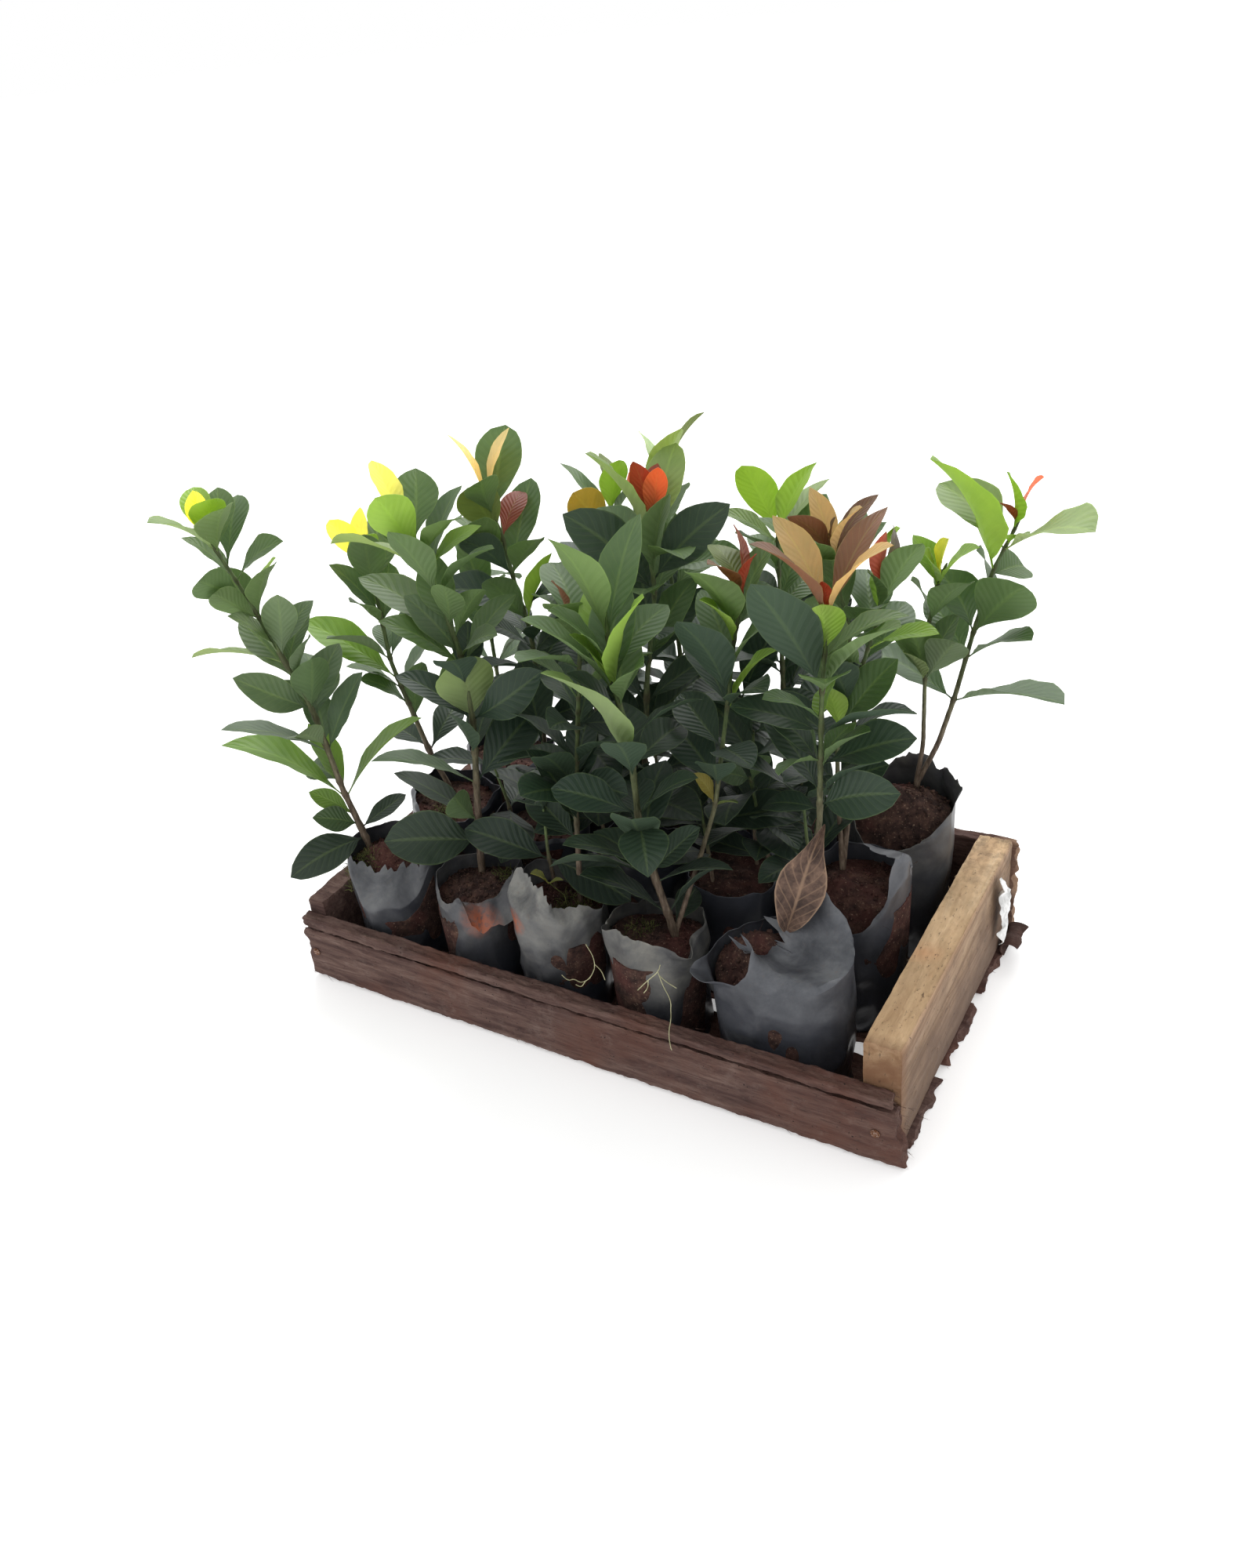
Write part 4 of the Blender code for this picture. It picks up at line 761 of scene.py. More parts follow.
def soil_heap(name, bag, seed, crumbs, fibres):
    heap = ring_stack(SIDE_RINGS + TOP_RINGS, SOIL_AROUND, "soil")
    points = points_of(heap)
    angle = np.arctan2(points[:, 1], points[:, 0])
    ring = np.round(points[:, 2])
    unit_x, unit_y = np.cos(angle), np.sin(angle)
    edge = 0.90 * dents(angle, seed)
    inward = np.clip((ring - SIDE_RINGS + 1) / TOP_RINGS, 0, 1)
    share = edge * (1 - 0.975 * inward)
    top = soil_level(name, bag, seed, unit_x * share, unit_y * share)
    side = np.clip(ring / (SIDE_RINGS - 1), 0, 1)
    level = np.where(ring < SIDE_RINGS, BAG_FOOT + 1.2 * MM + (top - BAG_FOOT - 1.2 * MM) * side, top)
    share = np.where(ring < SIDE_RINGS, edge * (0.93 + 0.07 * side), share)
    put_points(heap, np.stack((bag.centre[0] + unit_x * share * bag.half[0],
                               bag.centre[1] + unit_y * share * bag.half[1], level), axis=1))
    pick(heap)
    bpy.ops.object.mode_set(mode="EDIT")
    bpy.ops.mesh.select_all(action="DESELECT")
    bpy.ops.object.mode_set(mode="OBJECT")
    last = ring == ring.max()
    for vertex, chosen in zip(heap.data.vertices, last):
        vertex.select = bool(chosen)
    bpy.ops.object.mode_set(mode="EDIT")
    bpy.ops.mesh.select_mode(type="VERT")
    bpy.ops.mesh.edge_face_add()
    bpy.ops.object.mode_set(mode="OBJECT")
    pick(heap)
    bpy.ops.object.shade_smooth_by_angle(angle=math.radians(30))
    rng = np.random.default_rng(seed)
    parts = [heap]
    shapes = []
    for _ in range(crumbs):
        far = math.sqrt(rng.uniform(0, 0.9)) * 0.9
        way = rng.uniform(0, 2 * math.pi)
        x, y = far * math.cos(way), far * math.sin(way)
        size = rng.uniform(0.7, 1.0) * MM * rng.choice((1.0, 1.6, 2.4), p=(0.6, 0.3, 0.1))
        level = soil_level(name, bag, seed, np.array([x]), np.array([y]))[0]
        lump = crumb_points * size * rng.uniform(0.6, 1.3, 3) * (1 + rng.uniform(-0.25, 0.25, (12, 1)))
        shapes.append(lump + (bag.centre[0] + x * bag.half[0], bag.centre[1] + y * bag.half[1],
                              level + size * 0.25))
    parts.append(copies_of(crumb_blank, shapes))
    shapes = []
    for _ in range(fibres):
        far = math.sqrt(rng.uniform(0, 0.9)) * 0.88
        way = rng.uniform(0, 2 * math.pi)
        x, y = far * math.cos(way), far * math.sin(way)
        level = soil_level(name, bag, seed, np.array([x]), np.array([y]))[0]
        start = (bag.centre[0] + x * bag.half[0], bag.centre[1] + y * bag.half[1], level - 0.3 * MM)
        turn = rng.uniform(0, 2 * math.pi)
        heading = (math.cos(turn), math.sin(turn), rng.uniform(0.15, 1.2))
        shapes.append(strand(wander(start, heading, rng.uniform(6, 15) * MM, rng, sag=0.28),
                             rng.uniform(0.22, 0.42) * MM))
    parts.append(copies_of(strand_blank, shapes))
    heap = join(parts)
    return seat(heap, f"soil_heap_{name}", coir, (f"soil_{name}",))


def coir_soil():
    soil = Finish("coir_soil", roughness=0.95, Specular_IOR_Level=0.15)
    clods = soil.noise(110.0, 8.0, 0.75)
    patches = soil.noise(22.0, 3.0, 0.6)
    brown = soil.tones(clods, ((0.30, (0.014, 0.009, 0.009)), (0.45, (0.042, 0.024, 0.021)),
                               (0.58, (0.085, 0.047, 0.037)), (0.75, (0.190, 0.115, 0.080))))
    red = soil.blend(soil.spread(patches, 0.48, 0.62, 0.0, 0.5), brown, (0.100, 0.034, 0.030))
    soil.colour(soil.blend(soil.spread(soil.noise(500.0, 3.0, 0.6), 0.62, 0.7, 0.0, 0.7), red,
                           (0.300, 0.210, 0.150)))
    soil.relief(clods, 1.6 * MM, 1.0)
    return soil.material


coir = coir_soil()
SEEN = ("front_1", "front_2", "front_3", "front_4", "front_5", "middle_1", "middle_5", "back_5")
for seed, (name, bag) in enumerate(BAGS.items()):
    soil_heap(name, bag, 100 + seed, 260 if name in SEEN else 110, 70 if name in SEEN else 30)


# Plants. Each bag holds one ixora of one or two stems, which stand in a plain hole in
# the soil. The stems carry leathery leaves in pairs, dark and bluish low down, lime and
# yellow near the tips, with red and orange young leaves around the end buds.

# One stem: its bag, thickness at the soil and at the tip in mm, its foot (x, y) and its
# course above that (x, y, z) in cm from the bag's centre on the ground, and its leaves.
# A leaf: height up the stem in cm, heading from +X and rise in degrees, length and
# width in cm, how far the blade is turned on its midrib, and its tone.
Stem = namedtuple("Stem", "bag girth foot course leaves")
STEMS = [
    Stem("front_1", (5.6, 2.6), (-3, 0.5), [(-3.5, -0.5, 17), (-4, -1, 24), (-4.5, -2, 28.5),
         (-5.5, -3, 34), (-6.5, -4, 38.5), (-6.5, -4.5, 39.5)], [
        (1, 250, -15, 7, 2.8, -40, "dark"), (2, 60, 20, 4.5, 1.8, 20, "dark"),
        (2.5, 240, 30, 4, 2, -60, "mid"), (3.5, 205, 35, 4, 1.6, -40, "lime"),
        (5.5, 220, 40, 10.5, 4.2, 0, "lime"), (5.5, 165, 60, 6.5, 2.6, 20, "lime"),
        (7, 160, 0, 4.5, 2.6, -20, "mid"), (10, 235, 30, 8.5, 3.4, 0, "dark"),
        (10, 55, 55, 7, 2.8, 20, "dark"), (13, 100, 30, 6.5, 3.8, 30, "dark"),
        (14, 235, 40, 6.5, 2.6, -60, "dark"), (14, 330, 70, 5, 3, -20, "mid"),
        (18, 100, 35, 5, 2, 0, "mid"), (18.5, 200, 5, 7.5, 3, 20, "pale"),
        (19, 340, 70, 6, 2.4, -20, "dark"), (22.5, 270, 45, 5, 2, 60, "mid"),
        (23, 110, 25, 5.5, 2.2, -40, "lime"), (24.5, 280, 35, 5.5, 2.6, 60, "mid"),
        (27, 120, 30, 7, 2.8, -10, "mid"), (28.5, 265, 40, 6, 2.4, 0, "pale"),
        (29.5, 345, 55, 4.5, 2.4, -20, "lime"), (29.5, 140, 35, 5, 2, 0, "lime"),
        (30, 325, 65, 4, 1.6, 40, "gold")]),
    Stem("front_2", (6.4, 2.8), (-1, 2), [(-0.5, 2.5, 17), (0, 3, 23), (0, 3, 29), (-0.5, 2.5, 33.5),
         (-1.5, 2, 37.5), (-2, 1.5, 39.5)], [
        (2.5, 225, 15, 7.5, 4, -50, "dark"), (4.5, 200, 35, 7.5, 3, 0, "dark"),
        (4.5, 245, 60, 4, 2.2, 80, "mid"), (8, 230, 30, 8.5, 3.4, 0, "mid"),
        (8, 70, 30, 8, 3.4, 40, "dark"), (13.5, 330, 80, 6, 4.2, -10, "pale"),
        (13.5, 15, 35, 7.5, 3, 70, "dark"), (18, 235, 45, 7.5, 3, -20, "mid"),
        (20.5, 185, 30, 8.5, 3.4, 0, "dark"), (20.5, 10, 55, 5, 2, -40, "mid"),
        (24, 265, 60, 7, 2.8, 10, "mid"), (25.5, 85, 50, 7, 2.8, -20, "mid"),
        (26, 50, 30, 5, 2, 0, "lime"), (26, 180, 10, 8.5, 3.4, 30, "pale"),
        (27, 270, 60, 6.5, 3, 40, "lime"), (28, 115, 45, 6, 3, 10, "mid"),
        (30, 150, 45, 5.5, 2.2, 30, "gold"), (30, 120, 45, 6, 2.4, -30, "gold")]),
    Stem("middle_1", (5.4, 2.6), (-1.5, 1.5), [(-2.5, 1, 14.5), (-3.5, 0.5, 20), (-4, 0, 24),
         (-4, 0, 30), (-4.5, 0, 32.5)], [
        (4, 95, 20, 6, 2.4, 30, "dark"), (4.5, 165, 5, 5, 2, -20, "dark"),
        (7.5, 25, 75, 5.5, 2.2, -60, "mid"), (9, 240, 45, 5, 2, -20, "mid"),
        (11.5, 205, 40, 9, 3.6, -20, "lime"), (13.5, 140, 25, 4, 1.6, 0, "dark"),
        (17, 105, 25, 5, 2, 20, "mid"), (17.5, 235, 60, 6, 2.4, -40, "mid"),
        (21, 325, 60, 5, 2.2, 0, "lime"), (22, 125, 50, 5, 2, -40, "gold"),
        (22.5, 245, 65, 5, 2, 60, "gold")]),
    Stem("middle_2", (5.4, 2.6), (-0.5, 2), [(0, 2.5, 20.5), (0, 2.5, 27.5), (-0.5, 2, 32),
         (-1, 2, 35.5), (-1.5, 1.5, 38.5)], [
        (9, 70, -5, 5, 2.2, 50, "dark"), (10.5, 170, 5, 6, 2.4, -20, "dark"),
        (15, 10, 40, 5.5, 2.2, 40, "dark"), (15.5, 245, 40, 6, 2.4, -20, "dark"),
        (18, 260, 55, 6, 2.4, 40, "mid"), (18, 15, 65, 6, 2.4, -20, "lime"),
        (22, 100, 45, 8, 3.2, -10, "mid"), (22, 255, 45, 6, 2.4, 40, "dark"),
        (25, 100, 25, 5, 1.8, 20, "red"), (25.5, 260, 60, 5, 3, 50, "olive"),
        (26, 115, 40, 6, 2.4, -40, "mid"), (28.5, 185, 65, 5.5, 1.8, 20, "straw"),
        (28.5, 70, 60, 5.5, 1.6, -20, "straw")]),
    Stem("back_1", (5, 2.6), (1, -2), [(1.5, -2, 17.5), (1.5, -2, 25), (1.5, -2, 29.5)], [
        (5, 250, 40, 5, 2, -80, "dark"), (5, 75, -40, 5, 2.2, 80, "dark"),
        (8.5, 80, -10, 5.5, 2.2, 40, "dark"), (10.5, 255, 10, 6, 2.4, -20, "dark"),
        (15, 165, 65, 7, 2.8, 20, "mid"), (19, 105, -20, 5, 2, 0, "mid")]),
    Stem("back_2", (5.4, 2.6), (0, 0.5), [(0.5, 0.5, 19), (1.5, 1.5, 26), (2.5, 2, 32.5), (3, 2, 35)], [
        (9.5, 170, 0, 6, 2.4, -40, "dark"), (9.5, 80, -15, 6, 2.4, 40, "dark"),
        (15.5, 75, 5, 6, 2.4, 30, "dark"), (17, 155, 25, 6.5, 2.6, 0, "dark"),
        (21, 75, -10, 5, 2, 50, "mid"), (21.5, 260, 55, 6, 2.8, 50, "ochre"),
        (23.5, 330, 65, 5.5, 2.2, -10, "lime"), (24, 125, 30, 6, 2.4, 40, "olive")]),
    Stem("front_3", (5, 2.4), (1, 1.5), [(1.5, 2, 19), (2.5, 2.5, 27), (3, 3, 32), (2.5, 2.5, 34)], [
        (5.5, 155, 15, 6.5, 2.6, -20, "dark"), (10.5, 340, 15, 6, 2.8, 40, "dark"),
        (10.5, 275, 50, 6.5, 2.6, 30, "dark"), (15.5, 80, -30, 6.5, 2.6, 60, "dark"),
        (16.5, 140, 10, 6, 2.4, 0, "dark"), (20.5, 85, -25, 5.5, 2.2, 40, "dark"),
        (22, 275, 40, 5.5, 2.2, 0, "mid"), (24, 150, 0, 5, 2, 30, "mid"),
        (24.5, 285, 60, 4, 1.2, -40, "brown")]),
    Stem("middle_3", (6, 2.8), (0, 1), [(1, 1.5, 19.5), (1.5, 2, 25.5), (2.5, 2.5, 32), (2.5, 2.5, 36),
         (2.5, 2.5, 37.5)], [
        (5.5, 75, -20, 6.5, 2.8, 50, "dark"), (9, 160, -5, 6.5, 3, -40, "dark"),
        (11, 75, 10, 8, 3.2, 30, "dark"), (13.5, 160, 15, 6.5, 2.6, -40, "dark"),
        (16.5, 60, 50, 7, 2.8, 20, "mid"), (22, 220, 50, 9, 3.6, -60, "dark"),
        (23, 335, 70, 7.5, 3, 20, "mid"), (23, 20, 55, 8, 3.2, 60, "dark"),
        (26, 240, 60, 8.5, 3.4, -10, "pale"), (28, 265, 70, 5, 1.8, 40, "red"),
        (28, 335, 70, 5, 1.6, -30, "orange")]),
    Stem("back_3", (5.6, 2.6), (0, 0.5), [(0, 0.5, 22), (0, 0, 30.5), (-0.5, 0, 36), (-0.5, 0, 37.5)], [
        (7.5, 85, 5, 6.5, 3, 30, "dark"), (7.5, 150, -5, 6, 3, -20, "dark"),
        (13, 90, 15, 6, 2.6, 20, "dark"), (19, 145, 15, 6.5, 2.6, -10, "dark"),
        (19, 80, 20, 6.5, 2.6, 20, "mid"), (26, 340, 65, 7, 2.8, 10, "pale"),
        (26.5, 130, 35, 6.5, 2.6, 60, "grey"), (27, 100, 35, 7, 2.8, -40, "olive")]),
    Stem("front_4", (6.4, 2.8), (1.5, 0.5), [(0.5, 0, 15.5), (0, -0.5, 20.5), (0, -0.5, 27.5),
         (-0.5, -1, 31), (-0.5, -1, 34.5), (-0.5, -1, 36.5)], [
        (0.5, 85, -5, 4.5, 1.8, 20, "dark"), (5.5, 190, 0, 8, 3.2, 40, "dark"),
        (6, 25, 45, 5, 2, 30, "dark"), (6, 230, 35, 7.5, 3, 0, "dark"),
        (10.5, 305, -15, 5, 3.2, 0, "dark"), (15, 245, 60, 11, 4.4, 0, "pale"),
        (15, 85, 0, 6.5, 2.6, 20, "dark"), (21, 340, 65, 8.5, 3.4, 30, "lime"),
        (21, 250, 50, 8.5, 3.4, 0, "mid"), (21.5, 255, 60, 5, 2, -20, "lime"),
        (25, 260, 65, 9, 3.6, 0, "mid")]),
    Stem("front_4", (4.6, 2.4), (2, 1.5), [(3, 2.5, 16), (4, 3.5, 20), (5, 4.5, 28), (5.5, 5, 32.5),
         (6, 5.5, 35.5), (6, 5.5, 36.5)], [
        (11, 215, 65, 3, 1.2, -40, "ochre"), (11, 350, 20, 2, 0.8, -20, "olive"),
        (18.5, 5, 55, 6, 2.4, 0, "lime"), (19.5, 250, 60, 8, 3.2, 20, "dark"),
        (23.5, 255, 55, 5, 2, -20, "lime"), (24.5, 85, 10, 5, 2, 20, "mid"),
        (26.5, 330, 65, 4, 1.2, 10, "red"), (26.5, 270, 45, 6, 1.8, -10, "brown"),
        (27, 140, 20, 5, 2, 10, "olive"), (27.5, 120, 30, 5, 1.6, 60, "red")]),
    Stem("middle_4", (4.4, 2.4), (2.5, 1), [(2, 0.5, 14.5), (1.5, 0, 19.5)], [
        (1.5, 180, -20, 6.5, 2.6, -10, "dark"), (4.5, 250, 15, 6, 2.4, 20, "dark"),
        (5.5, 330, 0, 5, 2, -20, "dark"), (9.5, 240, 30, 3.5, 1.6, -60, "mid"),
        (9, 350, 60, 3, 1.4, -40, "mid")]),
    Stem("back_4", (5.4, 2.6), (-0.5, 1), [(-0.5, 1, 20.5), (-0.5, 1, 28.5), (-0.5, 1, 34),
         (-0.5, 1, 35.5)], [
        (5.5, 140, -5, 6, 2.8, -20, "dark"), (11, 75, -5, 6.5, 2.8, 40, "dark"),
        (13, 145, -10, 6, 2.8, -30, "dark"), (17.5, 140, 10, 6, 2.4, -20, "dark"),
        (17.5, 85, 10, 6, 2.4, 20, "mid"), (20.5, 140, 20, 5, 2, 0, "mid"),
        (23, 70, 30, 6.5, 2.6, -20, "pale"), (23, 210, 35, 5, 2, -20, "pale"),
        (24, 230, 65, 6, 2.6, 60, "lime"), (24, 350, 60, 6.5, 2.6, -20, "lime")]),
    Stem("front_5", (5.6, 2.6), (0.2, 2.8), [(1, 4.8, 19.5), (2, 3.2, 30.5), (2.5, 3, 35.5),
         (2.5, 3, 36.5)], [
        (9.5, 170, -15, 5, 2, -20, "dark"), (10, 350, 25, 6.5, 3, 60, "dark"),
        (13.5, 345, 45, 5.5, 2.2, 0, "mid"), (14, 255, 15, 4.5, 1.8, 20, "mid"),
        (17, 100, 10, 5, 2, -50, "lime"), (17.5, 235, 35, 5, 2, 0, "mid"),
        (20, 235, 60, 9.5, 3.8, 40, "dark"), (20, 345, 45, 8, 3.2, 0, "mid"),
        (22.5, 285, 60, 4, 2.4, 0, "lime"), (25, 245, 50, 8.5, 2.6, -10, "brown"),
        (25, 335, 50, 8, 2.4, 20, "tan"), (25.5, 285, 65, 3, 0.8, -20, "red")]),
    Stem("middle_5", (4.6, 2.4), (-1.5, 1.5), [(-2, 2, 19), (-2, 2, 23), (-0.5, 3, 28.5),
         (0.5, 3.5, 32), (0.5, 4, 34)], [
        (6, 340, 35, 4.5, 2, 60, "dark"), (7, 350, 40, 6, 2.4, 60, "dark"),
        (12, 255, 70, 4.5, 1.8, 20, "lime"), (12.5, 10, 55, 6.5, 2.6, 60, "mid"),
        (17, 135, -10, 5, 2, 20, "dark"), (18.5, 345, 25, 6, 2.4, 0, "lime"),
        (21, 100, 30, 7.5, 3, -80, "lime"), (21.5, 350, 60, 6, 2.4, -40, "mid"),
        (21.5, 270, 60, 4, 1.6, -40, "mid"), (22.5, 325, 70, 5.5, 1.6, 40, "red"),
        (23, 120, 25, 6, 1.8, 70, "purple")]),
    Stem("middle_5", (5, 2.4), (-0.5, 3), [(-1, 3, 22), (-1.5, 3, 31.5), (-2.5, 3, 35.5),
         (-2.5, 3, 37)], [
        (18.5, 85, 15, 5.5, 2.2, -20, "dark"), (20, 135, 10, 5.5, 2.2, 10, "dark"),
        (22.5, 285, 50, 4.5, 2.2, 0, "mid"), (23, 235, 45, 6.5, 2.6, 0, "mid"),
        (24.5, 320, 55, 6, 1.8, 40, "tan"), (25, 245, 45, 5.5, 1.6, 40, "brown"),
        (25, 295, 65, 3.5, 1, 80, "purple")]),
    Stem("back_5", (4.2, 2.4), (0.5, 2), [(1, 2, 18.5), (1, 2, 24), (1, 2.5, 28.5), (1.5, 2.5, 31.5),
         (2, 3, 33)], [
        (9.5, 230, 70, 6, 2.4, 40, "mid"), (9.5, 325, 65, 5.5, 2.2, -40, "dark"),
        (9.5, 240, 55, 3.5, 1.4, 0, "pale"), (14, 335, 50, 5.5, 2.2, -20, "mid"),
        (14, 125, 20, 4.5, 1.8, 60, "mid"), (17, 260, 55, 4, 1.6, -40, "lime"),
        (17, 330, 50, 4.5, 1.8, 10, "lime"), (17.5, 290, 60, 3.5, 1.4, 80, "gold")]),
    Stem("back_5", (5, 2.4), (1.5, 2.5), [(2, 2.5, 18.5), (3, 3, 22.5), (4, 4, 28), (5, 4.5, 32.5),
         (6, 5.5, 35), (6.5, 5.5, 36.5)], [
        (8, 345, 15, 9, 3.6, -20, "mid"), (11.5, 335, 30, 6.5, 2.6, 0, "mid"),
        (13.5, 340, 50, 6, 3.2, -60, "mid"), (17, 115, 15, 4.5, 1.8, 60, "mid"),
        (18, 70, -10, 4, 2, 40, "mid"), (18.5, 230, 60, 10.5, 4.2, -10, "lime"),
        (20, 330, 25, 8.5, 3.4, 0, "pale"), (20.5, 310, 30, 3, 1.2, 0, "lime"),
        (21.5, 260, 70, 5, 2, -50, "lime"), (22, 275, 60, 3.5, 1, 0, "red"),
        (22.5, 85, 20, 4.5, 1.2, -60, "orange")]),
]

STEMS_OF = {name: [stem for stem in STEMS if stem.bag == name] for name in BAGS}
STEM_COLLAR = 2.5 * MM
STEM_ROOT_DEPTH = 18 * MM

# Side shoots that fill the middle of the tray: their bag, foot (x, y) and tip (x, y, z)
# in cm as above, and the number of leaf pairs. Their leaves are dark and broad.
Shoot = namedtuple("Shoot", "bag foot tip pairs")
SHOOTS = (
    Shoot("middle_2", (1.6, -1.2), (2.6, -1.6, 20), 3), Shoot("middle_2", (-2.0, -1.0), (-2.6, -1.8, 17), 2),
    Shoot("middle_3", (-1.8, -1.4), (-2.4, -1.8, 21), 4), Shoot("middle_3", (2.2, -1.2), (3.0, -1.4, 19), 3),
    Shoot("middle_4", (-1.4, -1.6), (-1.8, -2.0, 18), 3), Shoot("middle_4", (0.8, 1.8), (0.8, 2.4, 22), 4),
    Shoot("back_2", (1.8, -1.2), (2.4, -1.4, 21), 4), Shoot("back_3", (-1.8, -1.6), (-2.2, -2.0, 22), 4),
    Shoot("back_3", (2.0, -1.0), (2.6, -1.2, 24), 4), Shoot("back_4", (-2.4, -1.2), (-3.0, -1.4, 22), 4),
    Shoot("back_4", (1.6, -1.2), (2.0, -1.6, 20), 3), Shoot("front_3", (-1.6, 2.0), (-2.2, 2.8, 17), 2),
    Shoot("middle_5", (-2.6, -1.0), (-3.2, -1.6, 20), 2),
)

# The coarse blade that keeps a leaf clear of its neighbours
BLADE_THICK = 1.5 * MM
PETIOLE = 1.1 * MM
BLADE_STATIONS = ((0.0, 0.0), (0.24, 0.68), (0.52, 1.0), (0.80, 0.66), (1.0, 0.0))
SMALL_BLADE_STATIONS = ((0.0, 0.0), (0.33, 0.92), (0.72, 0.86), (1.0, 0.0))
SMALL_BLADE = 5.6
ROOT_OFFSET = 0.5
ARCH = 0.07
FOLD = 0.22
CLEARANCE = 0.5 * MM
DODGES = [(turn, lift) for lift in (0, 12, -12, 24) for turn in (0, 10, -10, 20, -20, 32, -32)]
TWIN_HEADINGS = (35, 210)
TWIN_SPACING = 1.6 * CM
TWIN_SCALE = 0.88
TWIN_LEAST = 4.2


def stem_base(stem):
    """Where a stem comes out of the mounded soil."""
    bag = BAGS[stem.bag]
    x, y = (along * CM for along in stem.foot)
    share_x, share_y = x / bag.half[0], y / bag.half[1]
    fall = (1 - MOUND_SHOULDER[1]) / MOUND_SHOULDER[0] * math.hypot(share_x, share_y)
    level = bag.soil + bag.mound * (1 - fall) + slope_lift(bag, share_x, share_y)
    return Vector((bag.centre[0] + x, bag.centre[1] + y, level + STEM_COLLAR))


def course_points(stem):
    bag = BAGS[stem.bag]
    rest = [Vector((bag.centre[0] + x * CM, bag.centre[1] + y * CM, z * CM)) for x, y, z in stem.course]
    return [stem_base(stem if stem in SHOOT_STEMS else STEMS_OF[stem.bag][0])] + rest


def at_height(points, height):
    """The point at a length along the course."""
    total = sum((b - a).length for a, b in zip(points, points[1:]))
    left = min(height, total - 1 * MM)
    for a, b in zip(points, points[1:]):
        step = (b - a).length
        if left <= step:
            return a + (b - a) * (left / step)
        left -= step
    return points[-1]


def leaf_root(stem, points, leaf):
    """Inside the stem at the leaf's height, a little towards the leaf's own side."""
    total = sum((b - a).length for a, b in zip(points, points[1:]))
    share = min(1.0, leaf[0] * CM / total)
    radius = (stem.girth[0] + (stem.girth[1] - stem.girth[0]) * share) / 2 * MM
    heading = math.radians(leaf[1])
    side = Vector((math.cos(heading), math.sin(heading), 0.0))
    return at_height(points, leaf[0] * CM) + side * radius * ROOT_OFFSET


def blade_axes(heading, rise, turn):
    """Along, across and face directions of a leaf."""
    heading, rise, turn = (math.radians(angle) for angle in (heading, rise, turn))
    along = Vector((math.cos(heading) * math.cos(rise), math.sin(heading) * math.cos(rise), math.sin(rise)))
    face = (Vector((0, 0, 1)) - along * along.z).normalized()
    face = Matrix.Rotation(turn, 3, along) @ face
    return along, along.cross(face), face


def blade_rings(root, leaf, swell):
    """Cross-sections of the coarse blade: left edge, top, right edge, underside."""
    _, heading, rise, length, width, turn = leaf[:6]
    along, across, face = blade_axes(heading, rise, turn)
    rings = []
    stations = SMALL_BLADE_STATIONS if length < SMALL_BLADE else BLADE_STATIONS
    for share, wide in stations[:-1]:
        half = max(width / 2 * CM * wide, PETIOLE) + swell
        arch = ARCH * length * CM * 4 * share * (1 - share)
        middle = root + along * length * CM * share + face * arch
        lift = face * FOLD * half * min(1.0, 3 * share)
        deep = face * (BLADE_THICK * (1 - 0.35 * share) / 2 + swell)
        rings.append([middle - across * half + lift, middle + deep, middle + across * half + lift,
                      middle - deep])
    return rings, root + along * (length * CM + swell)


def blade_faces(rings):
    faces = [(3, 2, 1, 0)]
    for ring, side in itertools.product(range(len(rings) - 1), range(4)):
        a, b = 4 * ring + side, 4 * ring + (side + 1) % 4
        faces.append((a, b, b + 4, a + 4))
    last = 4 * (len(rings) - 1)
    tip = 4 * len(rings)
    return faces + [(last + side, last + (side + 1) % 4, tip) for side in range(4)]


def tree_of(vertices, faces):
    return BVHTree.FromPolygons([tuple(v) for v in vertices], faces, all_triangles=False)


def node_tree(name):
    mesh = cad[name].data
    return tree_of([v.co for v in mesh.vertices], [tuple(p.vertices) for p in mesh.polygons])


def sleeve_tree(girth, points):
    """A four-sided sleeve around a stem, for keeping leaves clear of it."""
    vertices, faces = [], []
    radius = girth / 2 * MM + CLEARANCE
    corners = [Vector(corner) * radius for corner in ((1, 0, 0), (0, 1, 0), (-1, 0, 0), (0, -1, 0))]
    for point in points:
        vertices += [point + corner for corner in corners]
    for ring, side in itertools.product(range(len(points) - 1), range(4)):
        a, b = 4 * ring + side, 4 * ring + (side + 1) % 4
        faces.append((a, b, b + 4, a + 4))
    return tree_of(vertices, faces)


def twins(stem):
    """Opposite leaves for those that stand alone, on the side that faces the back."""
    added = []
    for height, heading, rise, length, width, _, tone in stem.leaves:
        across = (heading + 180) % 360
        alone = all(abs(height - other[0]) * CM > TWIN_SPACING
                    or abs((other[1] - across + 180) % 360 - 180) > 75 for other in stem.leaves)
        hidden = TWIN_HEADINGS[0] < across < TWIN_HEADINGS[1]
        if alone and hidden and height > 4 and length > TWIN_LEAST:
            added.append((height, across, max(10, min(60, rise)), length * TWIN_SCALE,
                          width * TWIN_SCALE, 0, tone))
    return added


